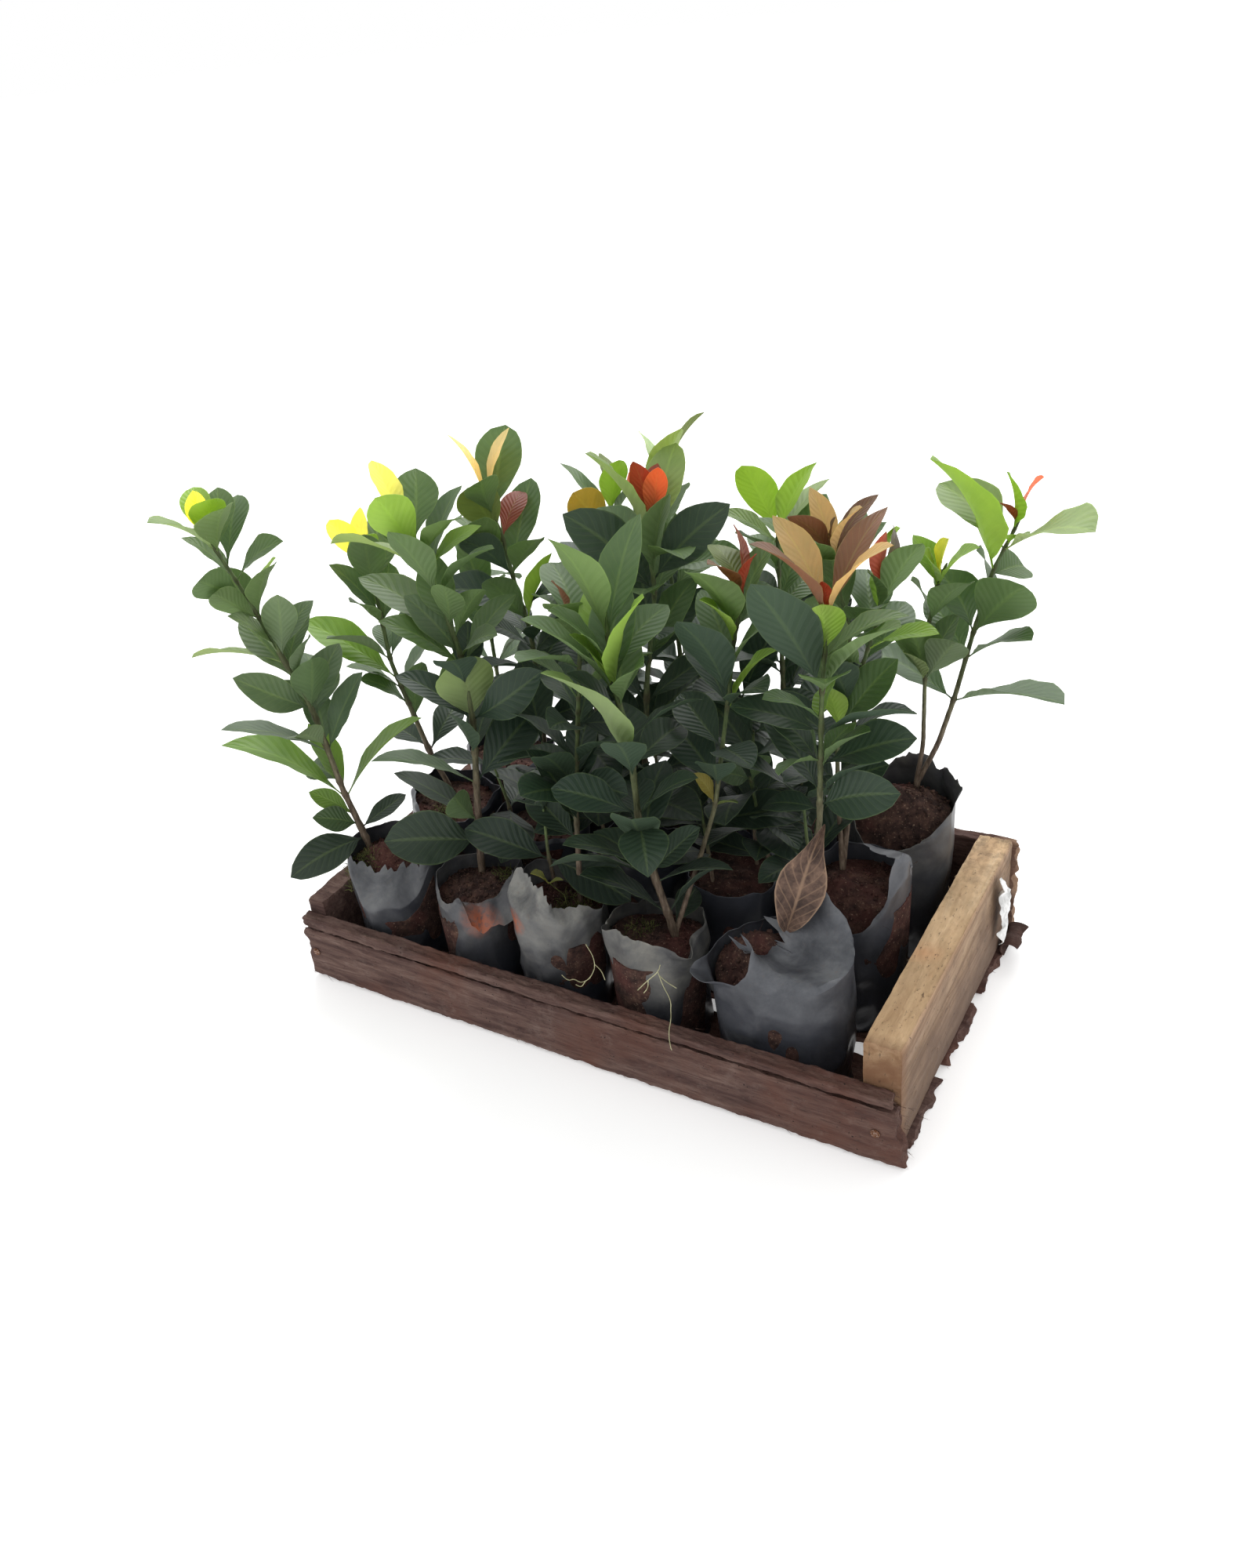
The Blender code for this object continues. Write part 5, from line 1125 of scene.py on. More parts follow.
class Thicket:
    """Leaves placed so far, so that a new one turns aside before it crosses them."""

    def __init__(self, obstacles):
        self.obstacles = obstacles
        self.blades = []
        self.stems = []

    def clear(self, bag, root, leaf):
        rings, tip = blade_rings(root, leaf, CLEARANCE)
        whole = tree_of([p for ring in rings for p in ring] + [tip], blade_faces(rings))
        outer = tree_of([p for ring in rings[1:] for p in ring] + [tip], blade_faces(rings[1:]))
        reach = leaf[3] * CM
        if any(whole.overlap(tree) for tree in self.obstacles):
            return False
        if any(owner != bag and whole.overlap(tree) for owner, tree in self.stems):
            return False
        for owner, other_root, other_reach, other_whole, other_outer in self.blades:
            if (other_root - root).length > reach + other_reach:
                continue
            if outer.overlap(other_outer) if owner == bag else whole.overlap(other_whole):
                return False
        self.blades.append((bag, root, reach, whole, outer))
        return True

    def settle(self, bag, root, leaf, sizes=(1.0, 0.8)):
        """The leaf as listed, or turned a little aside, or smaller, or none."""
        height, heading, rise, length, width, turn, tone = leaf
        for size in sizes:
            for aside, lift in DODGES:
                tried = (height, heading + aside, rise + lift, length * size, width * size, turn, tone)
                if self.clear(bag, root, tried):
                    return tried
        return None


def shoot_stem(shoot, index):
    """A side shoot as a stem, with broad dark leaves in crossed pairs."""
    dice = random.Random(500 + index)
    (x0, y0), (x1, y1, z1) = shoot.foot, shoot.tip
    bag = BAGS[shoot.bag]
    z0 = bag.soil / CM
    middle = (x0 + (x1 - x0) * 0.4 + dice.uniform(-0.3, 0.3), y0 + (y1 - y0) * 0.4, z0 + (z1 - z0) * 0.5)
    leaves = []
    rise = z1 - z0
    first = dice.uniform(0, 180)
    for pair in range(shoot.pairs):
        height = rise * (0.30 + 0.68 * pair / max(1, shoot.pairs - 1))
        for side in (0, 180):
            heading = (first + 90 * pair + side + dice.uniform(-12, 12)) % 360
            length = dice.uniform(5.8, 8.2) * (0.9 if pair == shoot.pairs - 1 else 1.0)
            leaves.append((height, heading, dice.uniform(-22, 28) + 8 * pair, length,
                           length * dice.uniform(0.42, 0.5), dice.uniform(-25, 25), "dark"))
    return Stem(shoot.bag, (3.6, 2.0), shoot.foot, [middle, shoot.tip], leaves)


# Plants with a bare stem, and slender ones that are bare low down
BARE = ("back_5",)
SLENDER = ("front_1", "middle_1", "front_2", "back_1")
SLENDER_FOOT = 9


def fillers(stem, points, taken, dice):
    """Crossed pairs at the heights where a stem has no leaves listed."""
    if stem.bag in BARE:
        return []
    total = sum((b - a).length for a, b in zip(points, points[1:])) / CM
    heights = sorted(leaf[0] for leaf in taken)
    low, high = (heights[0], heights[-1]) if heights else (total, total)
    slender = stem.bag in SLENDER
    found = []
    height = max(low, SLENDER_FOOT if slender else 0) + 1.6
    while height < high - 1.4:
        heading = dice.uniform(0, 360)
        for side in (0, 180):
            length = dice.uniform(4.6, 6.4) if slender else dice.uniform(5.4, 7.4)
            rise = dice.uniform(30, 65) if slender else dice.uniform(15, 55)
            found.append((height, (heading + side) % 360, rise, length, length * 0.46,
                          dice.uniform(-25, 25), "mid" if height > 0.7 * total else "dark"))
        height += dice.uniform(2.4, 3.4)
    return found


SHOOT_STEMS = [shoot_stem(shoot, index) for index, shoot in enumerate(SHOOTS)]
every_stem = STEMS + SHOOT_STEMS
courses = [course_points(stem) for stem in every_stem]
obstacle_names = ["front_slat", "front_strip", "back_slat", "dry_leaf", "end_board_left", "end_board_right",
                  *(f"bag_{name}" for name in BAGS), *(f"soil_{name}" for name in BAGS)]
thicket = Thicket([node_tree(name) for name in obstacle_names])
for stem, points in zip(STEMS, courses):
    thicket.stems.append((stem.bag, sleeve_tree(stem.girth[0], points)))

placed = [[] for _ in every_stem]
for listed in (lambda stem: stem.leaves, twins):
    for leaves, stem, points in zip(placed, STEMS, courses):
        for leaf in listed(stem):
            root = leaf_root(stem, points, leaf)
            settled = thicket.settle(stem.bag, root, leaf)
            if settled:
                leaves.append((root, settled))

for stem, points, leaves in list(zip(every_stem, courses, placed))[len(STEMS):]:
    thicket.stems.append((stem.bag, sleeve_tree(stem.girth[0], points)))
    for leaf in stem.leaves:
        root = leaf_root(stem, points, leaf)
        settled = thicket.settle(stem.bag, root, leaf, (1.0, 0.85, 0.7))
        if settled:
            leaves.append((root, settled))
filler_dice = random.Random(77)
for stem, points, leaves in list(zip(every_stem, courses, placed))[:len(STEMS)]:
    for leaf in fillers(stem, points, [leaf for _, leaf in leaves], filler_dice):
        root = leaf_root(stem, points, leaf)
        settled = thicket.settle(stem.bag, root, leaf, (1.0, 0.75))
        if settled:
            leaves.append((root, settled))


# The leaf blank is a fine grid with a thickness, which every leaf copies: a short stalk,
# a pointed oval blade raised at its edges, a sunken midrib and a rib on the underside

LEAF_ACROSS = 8
LEAF_ALONG = 13
STALK_SHARE = 0.07
LEAF_THICK = 0.45 * MM

leaf_blank = blank_of(bpy.ops.mesh.primitive_grid_add, x_subdivisions=LEAF_ACROSS, y_subdivisions=LEAF_ALONG,
                      size=1)
bpy.ops.object.mode_set(mode="EDIT")
bpy.ops.mesh.select_all(action="SELECT")
bpy.ops.mesh.extrude_region_move(TRANSFORM_OT_translate={"value": (0, 0, 1)})
bpy.ops.mesh.select_all(action="SELECT")
bpy.ops.mesh.normals_make_consistent(inside=False)
bpy.ops.object.mode_set(mode="OBJECT")
for face in leaf_blank.data.polygons:
    face.material_index = 1 if face.normal.z < -0.5 else 0
blank_points = points_of(leaf_blank)
blank_side = blank_points[:, 0] * 2
blank_share = blank_points[:, 1] + 0.5
blank_top = blank_points[:, 2]

TONES = ("grey", "dark", "mid", "lime", "gold", "straw", "pale", "olive", "ochre", "tan", "orange", "red",
         "brown", "purple", "mist")
TONE_STEP = 1 / (len(TONES) - 1)
# Heights up the stem, in cm, above which a plant's dark leaves are paler, being in the light
PALER_ABOVE = {"front_1": 5, "middle_1": 8, "front_2": 17, "back_1": 8, "back_5": 5, "middle_2": 26}


def leaf_shape(root, leaf, dice, fullness=1.1):
    """The points of one fine leaf, and the numbers that its finish reads."""
    _, heading, rise, length, width, turn, tone = leaf
    along, across, face = (np.array(axis) for axis in blade_axes(heading, rise, turn))
    length, half = length * CM, width / 2 * CM * fullness
    blunt = dice.uniform(0.50, 0.84)
    widest = dice.uniform(0.98, 1.34)
    past_stalk = np.clip((blank_share - STALK_SHARE) / (1 - STALK_SHARE), 0, 1)
    outline = np.sin(np.pi * past_stalk ** widest) ** (blunt + 0.25 * (1 - past_stalk))
    stalk = 0.75 * MM * (1 - 0.2 * blank_share)
    wide = np.maximum(half * outline, stalk * np.clip((1 - blank_share) * 12, 0.15, 1))
    bow = ARCH * length * 4 * blank_share * (1 - blank_share)
    droop = dice.uniform(-0.01, 0.05) * length * np.clip((blank_share - 0.6) / 0.4, 0, 1) ** 2
    cup = FOLD * dice.uniform(0.7, 1.3) * wide * np.abs(blank_side) ** 1.4 * np.minimum(1, 3 * blank_share)
    phase = dice.uniform(0, 2 * math.pi)
    wave = half * 0.04 * np.sin(blank_share * dice.uniform(16, 24) + phase) * np.abs(blank_side) ** 2
    wave *= np.sin(np.pi * blank_share)
    sway = dice.uniform(-0.035, 0.035) * length * np.sin(np.pi * blank_share)
    twist = dice.uniform(-0.25, 0.25) * blank_share * wide * blank_side
    groove = 0.35 * MM * np.exp(-(blank_side / 0.10) ** 2) * (1 - blank_share)
    rib = 0.75 * MM * np.exp(-(blank_side / 0.12) ** 2) * (1 - 0.8 * blank_share)
    thick = LEAF_THICK * (1 - 0.5 * np.abs(blank_side) ** 4)
    layer = np.where(blank_top > 0.5, thick / 2 - groove, -thick / 2 - rib)
    height = bow - droop + cup + wave + twist + layer
    points = (np.array(root) + along * (blank_share * length)[:, None]
              + across * (wide * blank_side + sway)[:, None] + face * height[:, None])
    shade = dice.random()
    base = TONES.index(tone) * TONE_STEP
    return points, {"tone": np.full(len(points), base), "shade": np.full(len(points), shade),
                    "side": blank_side * outline, "share": blank_share, "reach": blank_side}


STEM_RINGS = 70
stem_blank = ring_stack(STEM_RINGS, 8, "stem_blank")
bpy.ops.object.mode_set(mode="EDIT")
bpy.ops.mesh.select_mode(type="VERT")
bpy.ops.mesh.select_all(action="DESELECT")
bpy.ops.object.mode_set(mode="OBJECT")
stem_points = points_of(stem_blank)
for vertex, height in zip(stem_blank.data.vertices, stem_points[:, 2]):
    vertex.select = bool(height > STEM_RINGS - 1.5)
bpy.ops.object.mode_set(mode="EDIT")
bpy.ops.mesh.edge_face_add()
bpy.ops.object.mode_set(mode="OBJECT")
for face in stem_blank.data.polygons:
    face.material_index = 2
stem_points = points_of(stem_blank)
stem_share = stem_points[:, 2] / (STEM_RINGS - 1)
stem_angle = np.arctan2(stem_points[:, 1], stem_points[:, 0])


def stem_shape(stem, points, leaves, seed):
    """A stem: tapering, a little crooked, swollen where leaves sit and narrow between them."""
    points = [points[0] - Vector((0, 0, STEM_ROOT_DEPTH))] + list(points)
    lengths = np.array([0.0] + [(b - a).length for a, b in zip(points, points[1:])]).cumsum()
    total = lengths[-1] + 3 * MM
    here = stem_share * total
    course = np.array([list(p) for p in points])
    course = np.vstack((course, course[-1] + (course[-1] - course[-2]) / np.linalg.norm(course[-1] - course[-2])
                        * 3 * MM))
    lengths = np.append(lengths, total)
    middle = np.zeros((len(here), 3))
    for offset in (-6, -3, 0, 3, 6):
        at = np.clip(here + offset * MM, 0, total)
        middle += np.stack([np.interp(at, lengths, course[:, axis]) for axis in range(3)], axis=1) / 5
    above = np.clip((here - STEM_ROOT_DEPTH) / (total - STEM_ROOT_DEPTH), 0, 1)
    radius = (stem.girth[0] + (stem.girth[1] - stem.girth[0]) * above) / 2 * MM
    swell = np.zeros(len(here))
    for _, leaf in leaves:
        swell = np.maximum(swell, np.exp(-((here - STEM_ROOT_DEPTH - leaf[0] * CM) / (2.2 * MM)) ** 2))
    radius *= 1 + 0.30 * swell - 0.05 * (1 - swell)
    radius *= 1 + 0.07 * roughness_at(np.stack((np.cos(stem_angle), np.sin(stem_angle), here * 160), axis=1),
                                      2.0, seed)
    radius = np.where(here > total - 2.5 * MM, radius * 0.45, radius)
    shape = middle + np.stack((np.cos(stem_angle) * radius, np.sin(stem_angle) * radius,
                               np.zeros(len(here))), axis=1)
    zero = np.zeros(len(here))
    return shape, {"tone": zero, "shade": np.full(len(here), (seed * 0.37) % 1.0), "side": swell,
                   "share": above, "reach": zero}


def leaf_finish(name, under):
    """Leaf skin: coloured by tone, with painted light and shade by height, paler ribs, mottling and a thin light edge
    that is a paler margin with painted rim light; light shines through.
    """
    leaf = Finish(name, roughness=0.62 if under else 0.44, Specular_IOR_Level=0.5)
    tone = leaf.attribute("tone")
    shade = leaf.attribute("shade")
    side = leaf.attribute("reach")
    share = leaf.attribute("share")
    lit = {"grey": (0.36, 0.46, 0.32), "dark": (0.040, 0.074, 0.050), "mid": (0.105, 0.175, 0.080),
           "lime": (0.215, 0.340, 0.078), "gold": (0.560, 0.580, 0.160), "straw": (0.500, 0.470, 0.340),
           "pale": (0.190, 0.275, 0.125), "olive": (0.125, 0.175, 0.055), "ochre": (0.310, 0.270, 0.070),
           "tan": (0.350, 0.290, 0.160), "orange": (0.420, 0.150, 0.070), "red": (0.240, 0.065, 0.040),
           "brown": (0.165, 0.095, 0.060), "purple": (0.120, 0.080, 0.055), "mist": (0.140, 0.205, 0.125)}
    skin = leaf.tones(tone, [(min(1.0, i * TONE_STEP), lit[name]) for i, name in enumerate(TONES)])
    shaded = leaf.blend(leaf.spread(shade, 0.0, 1.0, 0.0, 0.5), skin,
                        leaf.blend(1.0, skin, (1.28, 1.20, 0.90), "MULTIPLY"))
    # Painted light and shade: high up the leaves are painted brighter, as in full light, and low down painted dull and
    # greyish, as in shade
    high = leaf.along("Z")
    painted_height_light = leaf.blend(leaf.spread(high, 0.24, 0.42, 0.0, 1.0), shaded,
                       leaf.blend(1.0, shaded, (1.40, 1.34, 1.25), "MULTIPLY"))
    lit_and_shaded_skin = leaf.blend(leaf.spread(high, 0.12, 0.22, 0.45, 0.0), painted_height_light, (0.046, 0.056, 0.048))
    mottled = leaf.blend(leaf.spread(leaf.noise(60.0, 4.0, 0.55), 0.42, 0.68, 0.0, 0.4), lit_and_shaded_skin,
                         leaf.blend(1.0, lit_and_shaded_skin, (0.62, 0.74, 0.66), "MULTIPLY"))
    away = leaf.sum("ABSOLUTE", side)
    midrib = leaf.spread(away, 0.03, 0.10, 1.0, 0.0)
    # Side veins leave the midrib at a slant and bend towards the tip
    slant = leaf.sum("SUBTRACT", leaf.sum("MULTIPLY", share, 11.0),
                     leaf.sum("MULTIPLY", leaf.sum("POWER", away, 0.8), 2.6))
    wave = leaf.sum("ABSOLUTE", leaf.sum("SUBTRACT", leaf.sum("FRACT", slant), 0.5))
    veins = leaf.sum("MULTIPLY", leaf.spread(wave, 0.04, 0.10, 1.0, 0.0), leaf.spread(away, 0.75, 0.95, 1.0, 0.0))
    light = leaf.blend(1.0, leaf.blend(0.3, lit_and_shaded_skin, (0.42, 0.55, 0.25)), (1.25, 1.25, 1.0), "MULTIPLY")
    ribbed = leaf.blend(leaf.sum("MULTIPLY", veins, 0.10), mottled, light)
    ribbed = leaf.blend(leaf.sum("MULTIPLY", midrib, 0.34), ribbed, light)
    # A thin paler margin along the leaf's edge, with painted rim light
    edged = leaf.blend(leaf.spread(away, 0.93, 0.99, 0.0, 0.40), ribbed, light)
    if under:
        edged = leaf.blend(0.40, edged, leaf.blend(1.0, lit_and_shaded_skin, (2.4, 2.1, 2.2), "MULTIPLY"))
    leaf.colour(edged)
    quilt = leaf.spread(wave, 0.0, 0.5, 0.0, 1.0)
    ridges = leaf.sum("ADD", quilt, leaf.sum("MULTIPLY", midrib, -0.6))
    normal = leaf.relief(ridges, 0.50 * MM, 0.50)
    glow = leaf.node("ShaderNodeBsdfTranslucent")
    leaf.feed(leaf.blend(1.0, edged, (1.60, 1.52, 1.25), "MULTIPLY"), glow.inputs["Color"])
    leaf.feed(normal, glow.inputs["Normal"])
    both = leaf.node("ShaderNodeMixShader")
    both.inputs[0].default_value = 0.42
    leaf.feed(leaf.shader.outputs[0], both.inputs[1])
    leaf.feed(glow.outputs[0], both.inputs[2])
    out = next(node for node in leaf.tree.nodes if node.type == "OUTPUT_MATERIAL")
    leaf.feed(both.outputs[0], out.inputs["Surface"])
    return leaf.material


def stem_finish():
    """Bark: grey-brown and cracked at the foot, green above, darker at the joints."""
    bark = Finish("stem_bark", roughness=0.7, Specular_IOR_Level=0.3)
    up = bark.attribute("share")
    joint = bark.attribute("side")
    flecks = bark.noise(1.0, 5.0, 0.65, at=bark.stretched((420, 420, 90)))
    woody = bark.tones(flecks, ((0.3, (0.050, 0.034, 0.024)), (0.55, (0.150, 0.110, 0.078)),
                                (0.75, (0.270, 0.215, 0.160))))
    green = bark.tones(flecks, ((0.3, (0.055, 0.085, 0.035)), (0.7, (0.150, 0.200, 0.075))))
    grown = bark.blend(bark.spread(up, 0.18, 0.62), woody, green)
    bark.colour(bark.blend(bark.sum("MULTIPLY", joint, 0.6), grown, (0.060, 0.042, 0.025)))
    bark.relief(flecks, 0.5 * MM, 0.8)
    return bark.material


leaf_top = leaf_finish("foliage", False)
leaf_under = leaf_finish("foliage_underside", True)
bark = stem_finish()
leaf_dice = random.Random(4)
for name in BAGS:
    leaf_shapes, leaf_marks, stem_shapes, stem_marks = [], [], [], []
    for index, (stem, points, leaves) in enumerate(zip(every_stem, courses, placed)):
        if stem.bag != name:
            continue
        shape, marks = stem_shape(stem, points, leaves, 40 + index)
        stem_shapes.append(shape)
        stem_marks.append(marks)
        for root, leaf in leaves:
            # Dark leaves high on a plant take a paler tone: painted light
            if leaf[-1] == "dark" and leaf[0] > PALER_ABOVE.get(name, math.inf):
                leaf = (*leaf[:-1], "mist")
            shape, marks = leaf_shape(root, leaf, leaf_dice, 1.45 if name == "back_5" else 1.1)
            leaf_shapes.append(shape)
            leaf_marks.append(marks)
    blades = copies_of(leaf_blank, leaf_shapes, {key: [m[key] for m in leaf_marks] for key in leaf_marks[0]})
    stalks = copies_of(stem_blank, stem_shapes, {key: [m[key] for m in stem_marks] for key in stem_marks[0]})
    for piece in (blades, stalks):
        for finish in (leaf_top, leaf_under, bark):
            piece.data.materials.append(finish)
    plant = join([blades, stalks])
    indices = np.empty(len(plant.data.polygons), np.int32)
    plant.data.polygons.foreach_get("material_index", indices)
    pick(plant)
    bpy.ops.object.shade_smooth_by_angle(angle=math.radians(60))
    seat(plant, f"ixora_{name}", (leaf_top, leaf_under, bark), (f"plant_{name}",))
    plant.data.polygons.foreach_set("material_index", indices)


# Fallen leaf. One dry brown leaf stands on its stalk in the loose soil of the front
# right bag, folded along its midrib, with rippled edges and a curled tip.

DRY_FOOT = (0.150, -0.070, 0.112)
DRY_LENGTH = 92 * MM
DRY_WIDTH = 36 * MM


def dry_finish():
    dry = Finish("dry_leaf", roughness=0.78, Specular_IOR_Level=0.25)
    away = dry.sum("ABSOLUTE", dry.attribute("reach"))
    share = dry.attribute("share")
    blotches = dry.noise(85.0, 6.0, 0.7, 0.4)
    brown = dry.tones(blotches, ((0.30, (0.045, 0.030, 0.026)), (0.48, (0.100, 0.064, 0.050)),
                                 (0.60, (0.165, 0.105, 0.078)), (0.78, (0.330, 0.210, 0.140))))
    slant = dry.sum("SUBTRACT", dry.sum("MULTIPLY", share, 9.0), dry.sum("MULTIPLY", away, 2.4))
    wave = dry.sum("ABSOLUTE", dry.sum("SUBTRACT", dry.sum("FRACT", slant), 0.5))
    veined = dry.blend(dry.spread(wave, 0.03, 0.12, 0.5, 0.0), brown, (0.280, 0.180, 0.120))
    ribbed = dry.blend(dry.spread(away, 0.03, 0.10, 0.7, 0.0), veined, (0.320, 0.210, 0.140))
    dry.colour(dry.blend(dry.spread(away, 0.90, 0.99, 0.0, 0.7), ribbed, (0.400, 0.270, 0.180)))
    dry.relief(blotches, 0.5 * MM, 0.6, under=dry.relief(wave, 0.6 * MM, 0.6))
    return dry.material


along, across, face = (np.array(axis) for axis in blade_axes(46, 71, 60))
past_stalk = np.clip((blank_share - STALK_SHARE) / (1 - STALK_SHARE), 0, 1)
outline = np.sin(np.pi * past_stalk ** 0.95) ** 0.78
wide = np.maximum(DRY_WIDTH / 2 * outline, 0.9 * MM)
fold = np.radians(16 + 26 * blank_share + 16 * np.sin(8 * blank_share))
ripple = 1.8 * MM * np.sin(blank_share * 21 + 2.5 * blank_side) * np.abs(blank_side) ** 1.5 * outline
bow = 5 * MM * np.sin(np.pi * blank_share)
curl = 11 * MM * np.clip((blank_share - 0.66) / 0.34, 0, 1) ** 2
layer = np.where(blank_top > 0.5, 0.25, -0.25) * MM
blade = (np.array(DRY_FOOT) + along * (blank_share * DRY_LENGTH)[:, None]
         + across * (wide * blank_side * np.cos(fold) + 0.25 * curl)[:, None]
         + face * (bow - curl + wide * np.abs(blank_side) * np.sin(fold) + ripple + layer)[:, None])
dry_blade = copies_of(leaf_blank, [blade], {"reach": [blank_side], "share": [blank_share]})
foot = np.array(DRY_FOOT)
stalk_path = [foot - (0, 0, 10 * MM), foot, foot + along * 9 * MM]
dry_stalk = copies_of(strand_blank, [strand(stalk_path, 2.6 * MM, 0.8)],
                      {"reach": [np.zeros(len(strand_points))], "share": [np.zeros(len(strand_points))]})
dry_leaf = join([dry_blade, dry_stalk])
pick(dry_leaf)
bpy.ops.object.shade_smooth_by_angle(angle=math.radians(60))
seat(dry_leaf, "dry_leaf_blade", dry_finish(), ("dry_leaf",))


# Moss and a seedling. Moss has grown on the damp soil of a few bags, in loose yellowish
# tufts of short fine shoots, and one weed seedling has come up between them.

def moss_finish():
    moss = Finish("moss", roughness=0.9, Specular_IOR_Level=0.2)
    moss.colour(moss.tones(moss.noise(160.0, 4.0, 0.7), ((0.30, (0.030, 0.036, 0.014)),
                                                        (0.50, (0.110, 0.125, 0.040)),
                                                        (0.72, (0.300, 0.330, 0.110)))))
    return moss.material


# A patch: its bag, its middle as shares of the half widths, its radius in mm, and its shoots
MOSS = (("front_1", (-0.55, -0.35), 15, 330), ("front_3", (0.20, 0.15), 17, 320), ("front_2", (0.35, 0.55), 12, 150),
        ("front_4", (-0.35, 0.1), 12, 120), ("middle_1", (0.1, -0.5), 14, 150))
moss_green = moss_finish()
bag_seeds = {name: 100 + index for index, name in enumerate(BAGS)}
for name, (share_x, share_y), radius, shoots in MOSS:
    bag = BAGS[name]
    rng = np.random.default_rng(bag_seeds[name])
    shapes = []
    for _ in range(shoots):
        far, way = radius * MM * rng.uniform(0, 1) ** 0.6, rng.uniform(0, 2 * math.pi)
        x = share_x * bag.half[0] + far * math.cos(way)
        y = share_y * bag.half[1] + far * math.sin(way)
        level = soil_level(name, bag, bag_seeds[name], np.array([x / bag.half[0]]), np.array([y / bag.half[1]]))[0]
        heading = (rng.normal(0, 0.6), rng.normal(0, 0.6), 1.0)
        start = (bag.centre[0] + x, bag.centre[1] + y, level - 0.5 * MM)
        shapes.append(strand(wander(start, heading, rng.uniform(3, 8) * MM, rng, sag=0.12, kinks=0.6),
                             rng.uniform(0.3, 0.7) * MM, 0.5))
    seat(copies_of(strand_blank, shapes), f"moss_{name}", moss_green)

SEEDLING_FOOT = (-0.020, -0.089, 0.096)
SEEDLING_TOP = (-0.036, -0.088, 0.124)
seedling_dice = random.Random(9)
shapes, marks = zip(*(leaf_shape(Vector(SEEDLING_TOP), (0, heading, rise, length, width, turn, "gold"), seedling_dice, 1.5)
                      for heading, rise, length, width, turn in ((215, 40, 1.7, 1.2, 10), (30, 10, 1.1, 0.5, -20))))
cotyledons = copies_of(leaf_blank, list(shapes), {key: [m[key] for m in marks] for key in marks[0]})
for finish in (leaf_top, leaf_under):
    cotyledons.data.materials.append(finish)
indices = np.empty(len(cotyledons.data.polygons), np.int32)
cotyledons.data.polygons.foreach_get("material_index", indices)
seat(cotyledons, "seedling_leaves", (leaf_top, leaf_under))
cotyledons.data.polygons.foreach_set("material_index", indices)
middle = (-0.024, -0.087, 0.115)
seat(copies_of(strand_blank, [strand([SEEDLING_FOOT, middle, SEEDLING_TOP], 1.1 * MM, 0.8)]),
     "seedling_stalk", moss_green)


# Root threads. Pale thin roots have grown through the film of two front bags; one hangs
# down over the front slat.

def thread(spots, thick):
    """Strand after strand along a smoothed route."""
    route = [np.array(spot, float) * CM for spot in spots]
    for _ in range(2):
        finer = [route[0]]
        for a, b in zip(route, route[1:]):
            finer += [a * 0.75 + b * 0.25, a * 0.25 + b * 0.75]
        route = finer + [route[-1]]
    return [strand([a, b], thick, 0.95) for a, b in zip(route, route[1:])]


# Each route lists places in cm along the outside of the film
ROOTS = (((8.2, -12.95, 11.3), (8.0, -13.0, 10.6), (7.1, -13.0, 9.6), (6.1, -13.0, 8.3)),
         ((8.0, -13.0, 10.6), (8.3, -13.0, 9.4), (8.9, -13.1, 8.4), (8.8, -13.1, 7.4), (8.9, -13.4, 6.75),
          (9.1, -14.25, 6.3), (9.3, -14.45, 5.2), (9.35, -14.4, 4.9)),
         ((8.1, -13.0, 10.3), (8.6, -13.0, 9.9), (9.4, -13.0, 9.6)),
         ((7.1, -13.0, 9.6), (7.0, -13.0, 8.8), (6.6, -13.0, 8.2)),
         ((2.0, -12.9, 11.2), (2.6, -12.95, 10.2), (2.6, -13.0, 9.2), (2.0, -13.0, 8.0), (1.1, -13.0, 7.3),
          (0.6, -13.05, 7.6), (0.0, -13.05, 7.2), (-0.5, -13.05, 7.6)),
         ((1.6, -13.0, 7.7), (1.2, -13.1, 7.0), (0.7, -13.1, 7.1)),
         ((2.6, -13.0, 9.6), (3.2, -13.05, 9.2), (3.4, -13.05, 8.4)))
root_skin = Finish("root_threads", roughness=0.7)
root_skin.colour(root_skin.tones(root_skin.noise(200.0), ((0.3, (0.260, 0.250, 0.130)), (0.7, (0.520, 0.500, 0.300)))))
seat(copies_of(strand_blank, [part for route in ROOTS for part in thread(route, 0.75 * MM)]),
     "root_threads", root_skin.material)


# Odds and ends at the far right corner: a milky scrap of film caught on the outside of
# the end board, and a curl of bark on the end of a floor slat.

def crumpled_sheet(name, cells, place_of, seed, lift, thick):
    """A small sheet laid by a rule, crumpled, and given a thickness."""
    bpy.ops.object.select_all(action="DESELECT")
    bpy.ops.mesh.primitive_grid_add(x_subdivisions=cells[0], y_subdivisions=cells[1], size=1)
    sheet = bpy.context.object
    flat = points_of(sheet)
    place = place_of(flat[:, 0] + 0.5, flat[:, 1] + 0.5)
    put_points(sheet, place)
    fold = 1 - 2 * np.abs(roughness_at(place, 75.0, seed)) - np.abs(roughness_at(place, 170.0, seed + 1))
    put_points(sheet, place + normals_of(sheet) * (fold * lift)[:, None])
    sheet.modifiers.new("thick", "SOLIDIFY").thickness = thick
    pick(sheet)
    bpy.ops.object.modifier_apply(modifier="thick")
    bpy.ops.object.shade_smooth_by_angle(angle=math.radians(35))
    sheet.name = name
    return sheet


def scrap_place(u, v):
    wide = 13 * MM * np.sin(np.pi * np.clip(v, 0.04, 0.96)) ** 0.7
    return np.stack((np.full(len(u), 0.2665), 0.086 + 0.006 * np.sin(4 * v) + (u - 0.5) * 2 * wide,
                     0.030 + 0.064 * v), axis=1)


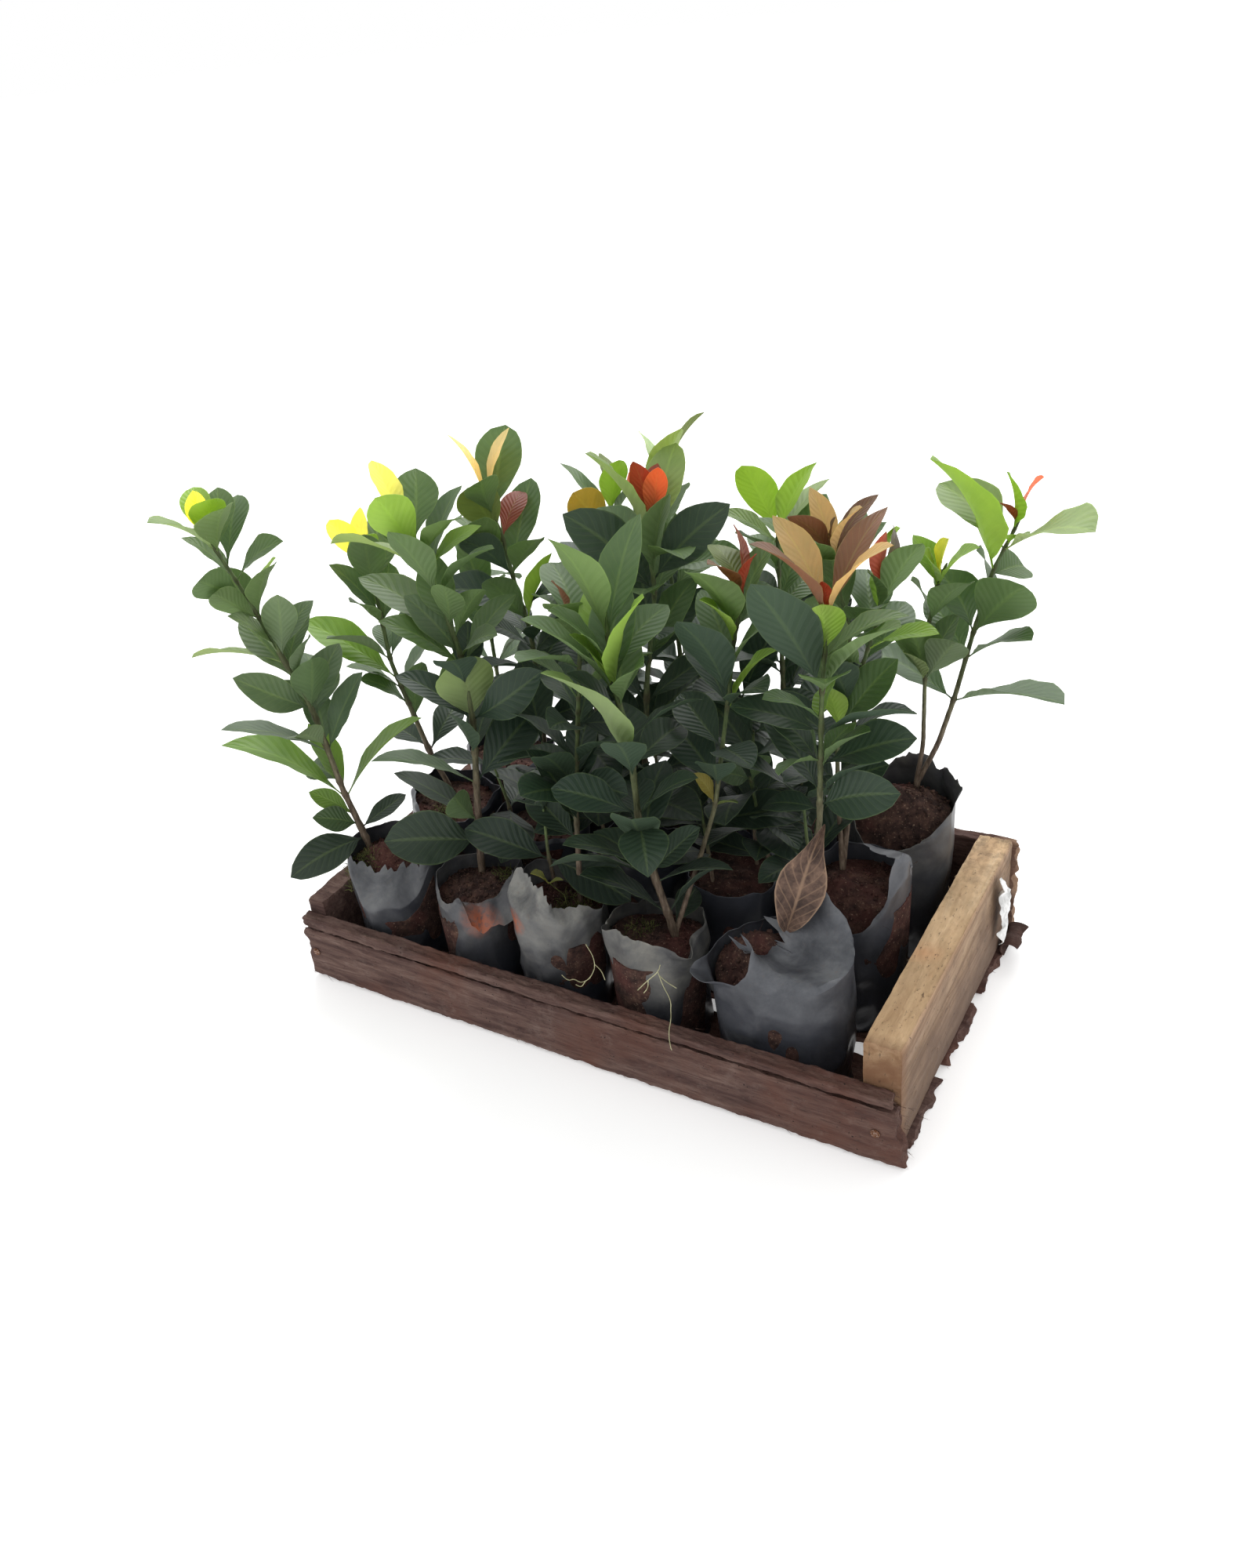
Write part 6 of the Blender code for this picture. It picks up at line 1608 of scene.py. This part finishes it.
milky = Finish("milky_film", roughness=0.35, Specular_IOR_Level=0.6)
milky.colour(milky.tones(milky.noise(45.0, 4.0, 0.6, 1.0), ((0.35, (0.34, 0.34, 0.33)), (0.6, (0.86, 0.86, 0.85)))))
scrap = crumpled_sheet("scrap", (16, 34), scrap_place, 31, 3 * MM, 0.35 * MM)
seat(scrap, "film_scrap", milky.material)


def bark_place(u, v):
    turn = 0.6 + 3.6 * u
    radius = (9 - 4 * u) * MM * (1 + 0.15 * np.sin(7 * v))
    return np.stack((0.269 + radius * np.cos(turn), 0.098 + 0.030 * v, 0.0125 + radius * np.sin(turn)), axis=1)


curl = crumpled_sheet("curl", (30, 20), bark_place, 41, 1.2 * MM, 0.9 * MM)
seat(curl, "bark_curl", weathered_wood("old_bark", 0.7))


# Floor, light and camera. A plain pale floor runs to the horizon under a white sky; the
# light is a soft box behind and above the plants, so that it shines through the leaves.

bpy.data.objects.remove(crumb_blank)
bpy.data.objects.remove(strand_blank)
bpy.data.objects.remove(leaf_blank)
bpy.data.objects.remove(stem_blank)

bpy.ops.object.select_all(action="DESELECT")
bpy.ops.mesh.primitive_plane_add(size=60, location=(0, 0, 0))
floor = bpy.context.object
floor.name = "floor"
pale = Finish("floor_pale", roughness=0.95, Specular_IOR_Level=0.0, Emission_Strength=0.34,
              Emission_Color=(1.0, 1.0, 1.0, 1.0))
pale.colour(pale.tones(pale.noise(3.0, 2.0), ((0.3, (0.87, 0.87, 0.87)), (0.7, (0.90, 0.90, 0.90)))))
floor.data.materials.append(pale.material)

scene = bpy.context.scene
world = bpy.data.worlds.new("white_room")
scene.world = world
world.use_nodes = True
sky = world.node_tree.nodes["Background"]
sky.inputs["Color"].default_value = (1.0, 1.0, 1.0, 1.0)
sky.inputs["Strength"].default_value = 1.0


def soft_box(name, place, target, size, power):
    light = bpy.data.lights.new(name, "AREA")
    light.shape = "RECTANGLE"
    light.size, light.size_y = size
    light.energy = power
    lamp = bpy.data.objects.new(name, light)
    scene.collection.objects.link(lamp)
    lamp.location = place
    lamp.rotation_mode = "QUATERNION"
    lamp.rotation_quaternion = (Vector(target) - Vector(place)).to_track_quat("-Z", "Y")
    lamp.visible_camera = False


soft_box("back_light", (-0.5, 1.7, 1.6), (0, 0, 0.2), (2.4, 1.6), 42)

CAMERA_PLACE = (0.459, -0.731, 0.696)
CAMERA_YAW, CAMERA_PITCH, CAMERA_ROLL = (math.radians(angle) for angle in (32.8, 31.3, -6.4))
FOCAL_PIXELS = 1645
PHOTO_HEIGHT = 2000
SENSOR = 36.0
ahead = Vector((-math.sin(CAMERA_YAW) * math.cos(CAMERA_PITCH), math.cos(CAMERA_YAW) * math.cos(CAMERA_PITCH),
                -math.sin(CAMERA_PITCH)))
level = Vector((math.cos(CAMERA_YAW), math.sin(CAMERA_YAW), 0))
upward = level.cross(ahead)
rolled = level * math.cos(CAMERA_ROLL) + upward * math.sin(CAMERA_ROLL)
upright = upward * math.cos(CAMERA_ROLL) - level * math.sin(CAMERA_ROLL)
lens = bpy.data.cameras.new("camera")
lens.sensor_fit = "AUTO"
lens.sensor_width = SENSOR
lens.lens = FOCAL_PIXELS * SENSOR / PHOTO_HEIGHT
lens.clip_start = 0.01
camera = bpy.data.objects.new("camera", lens)
scene.collection.objects.link(camera)
stance = Matrix((rolled, upright, -ahead)).transposed().to_4x4()
stance.translation = CAMERA_PLACE
camera.matrix_world = stance
scene.camera = camera
scene.view_settings.view_transform = "Standard"
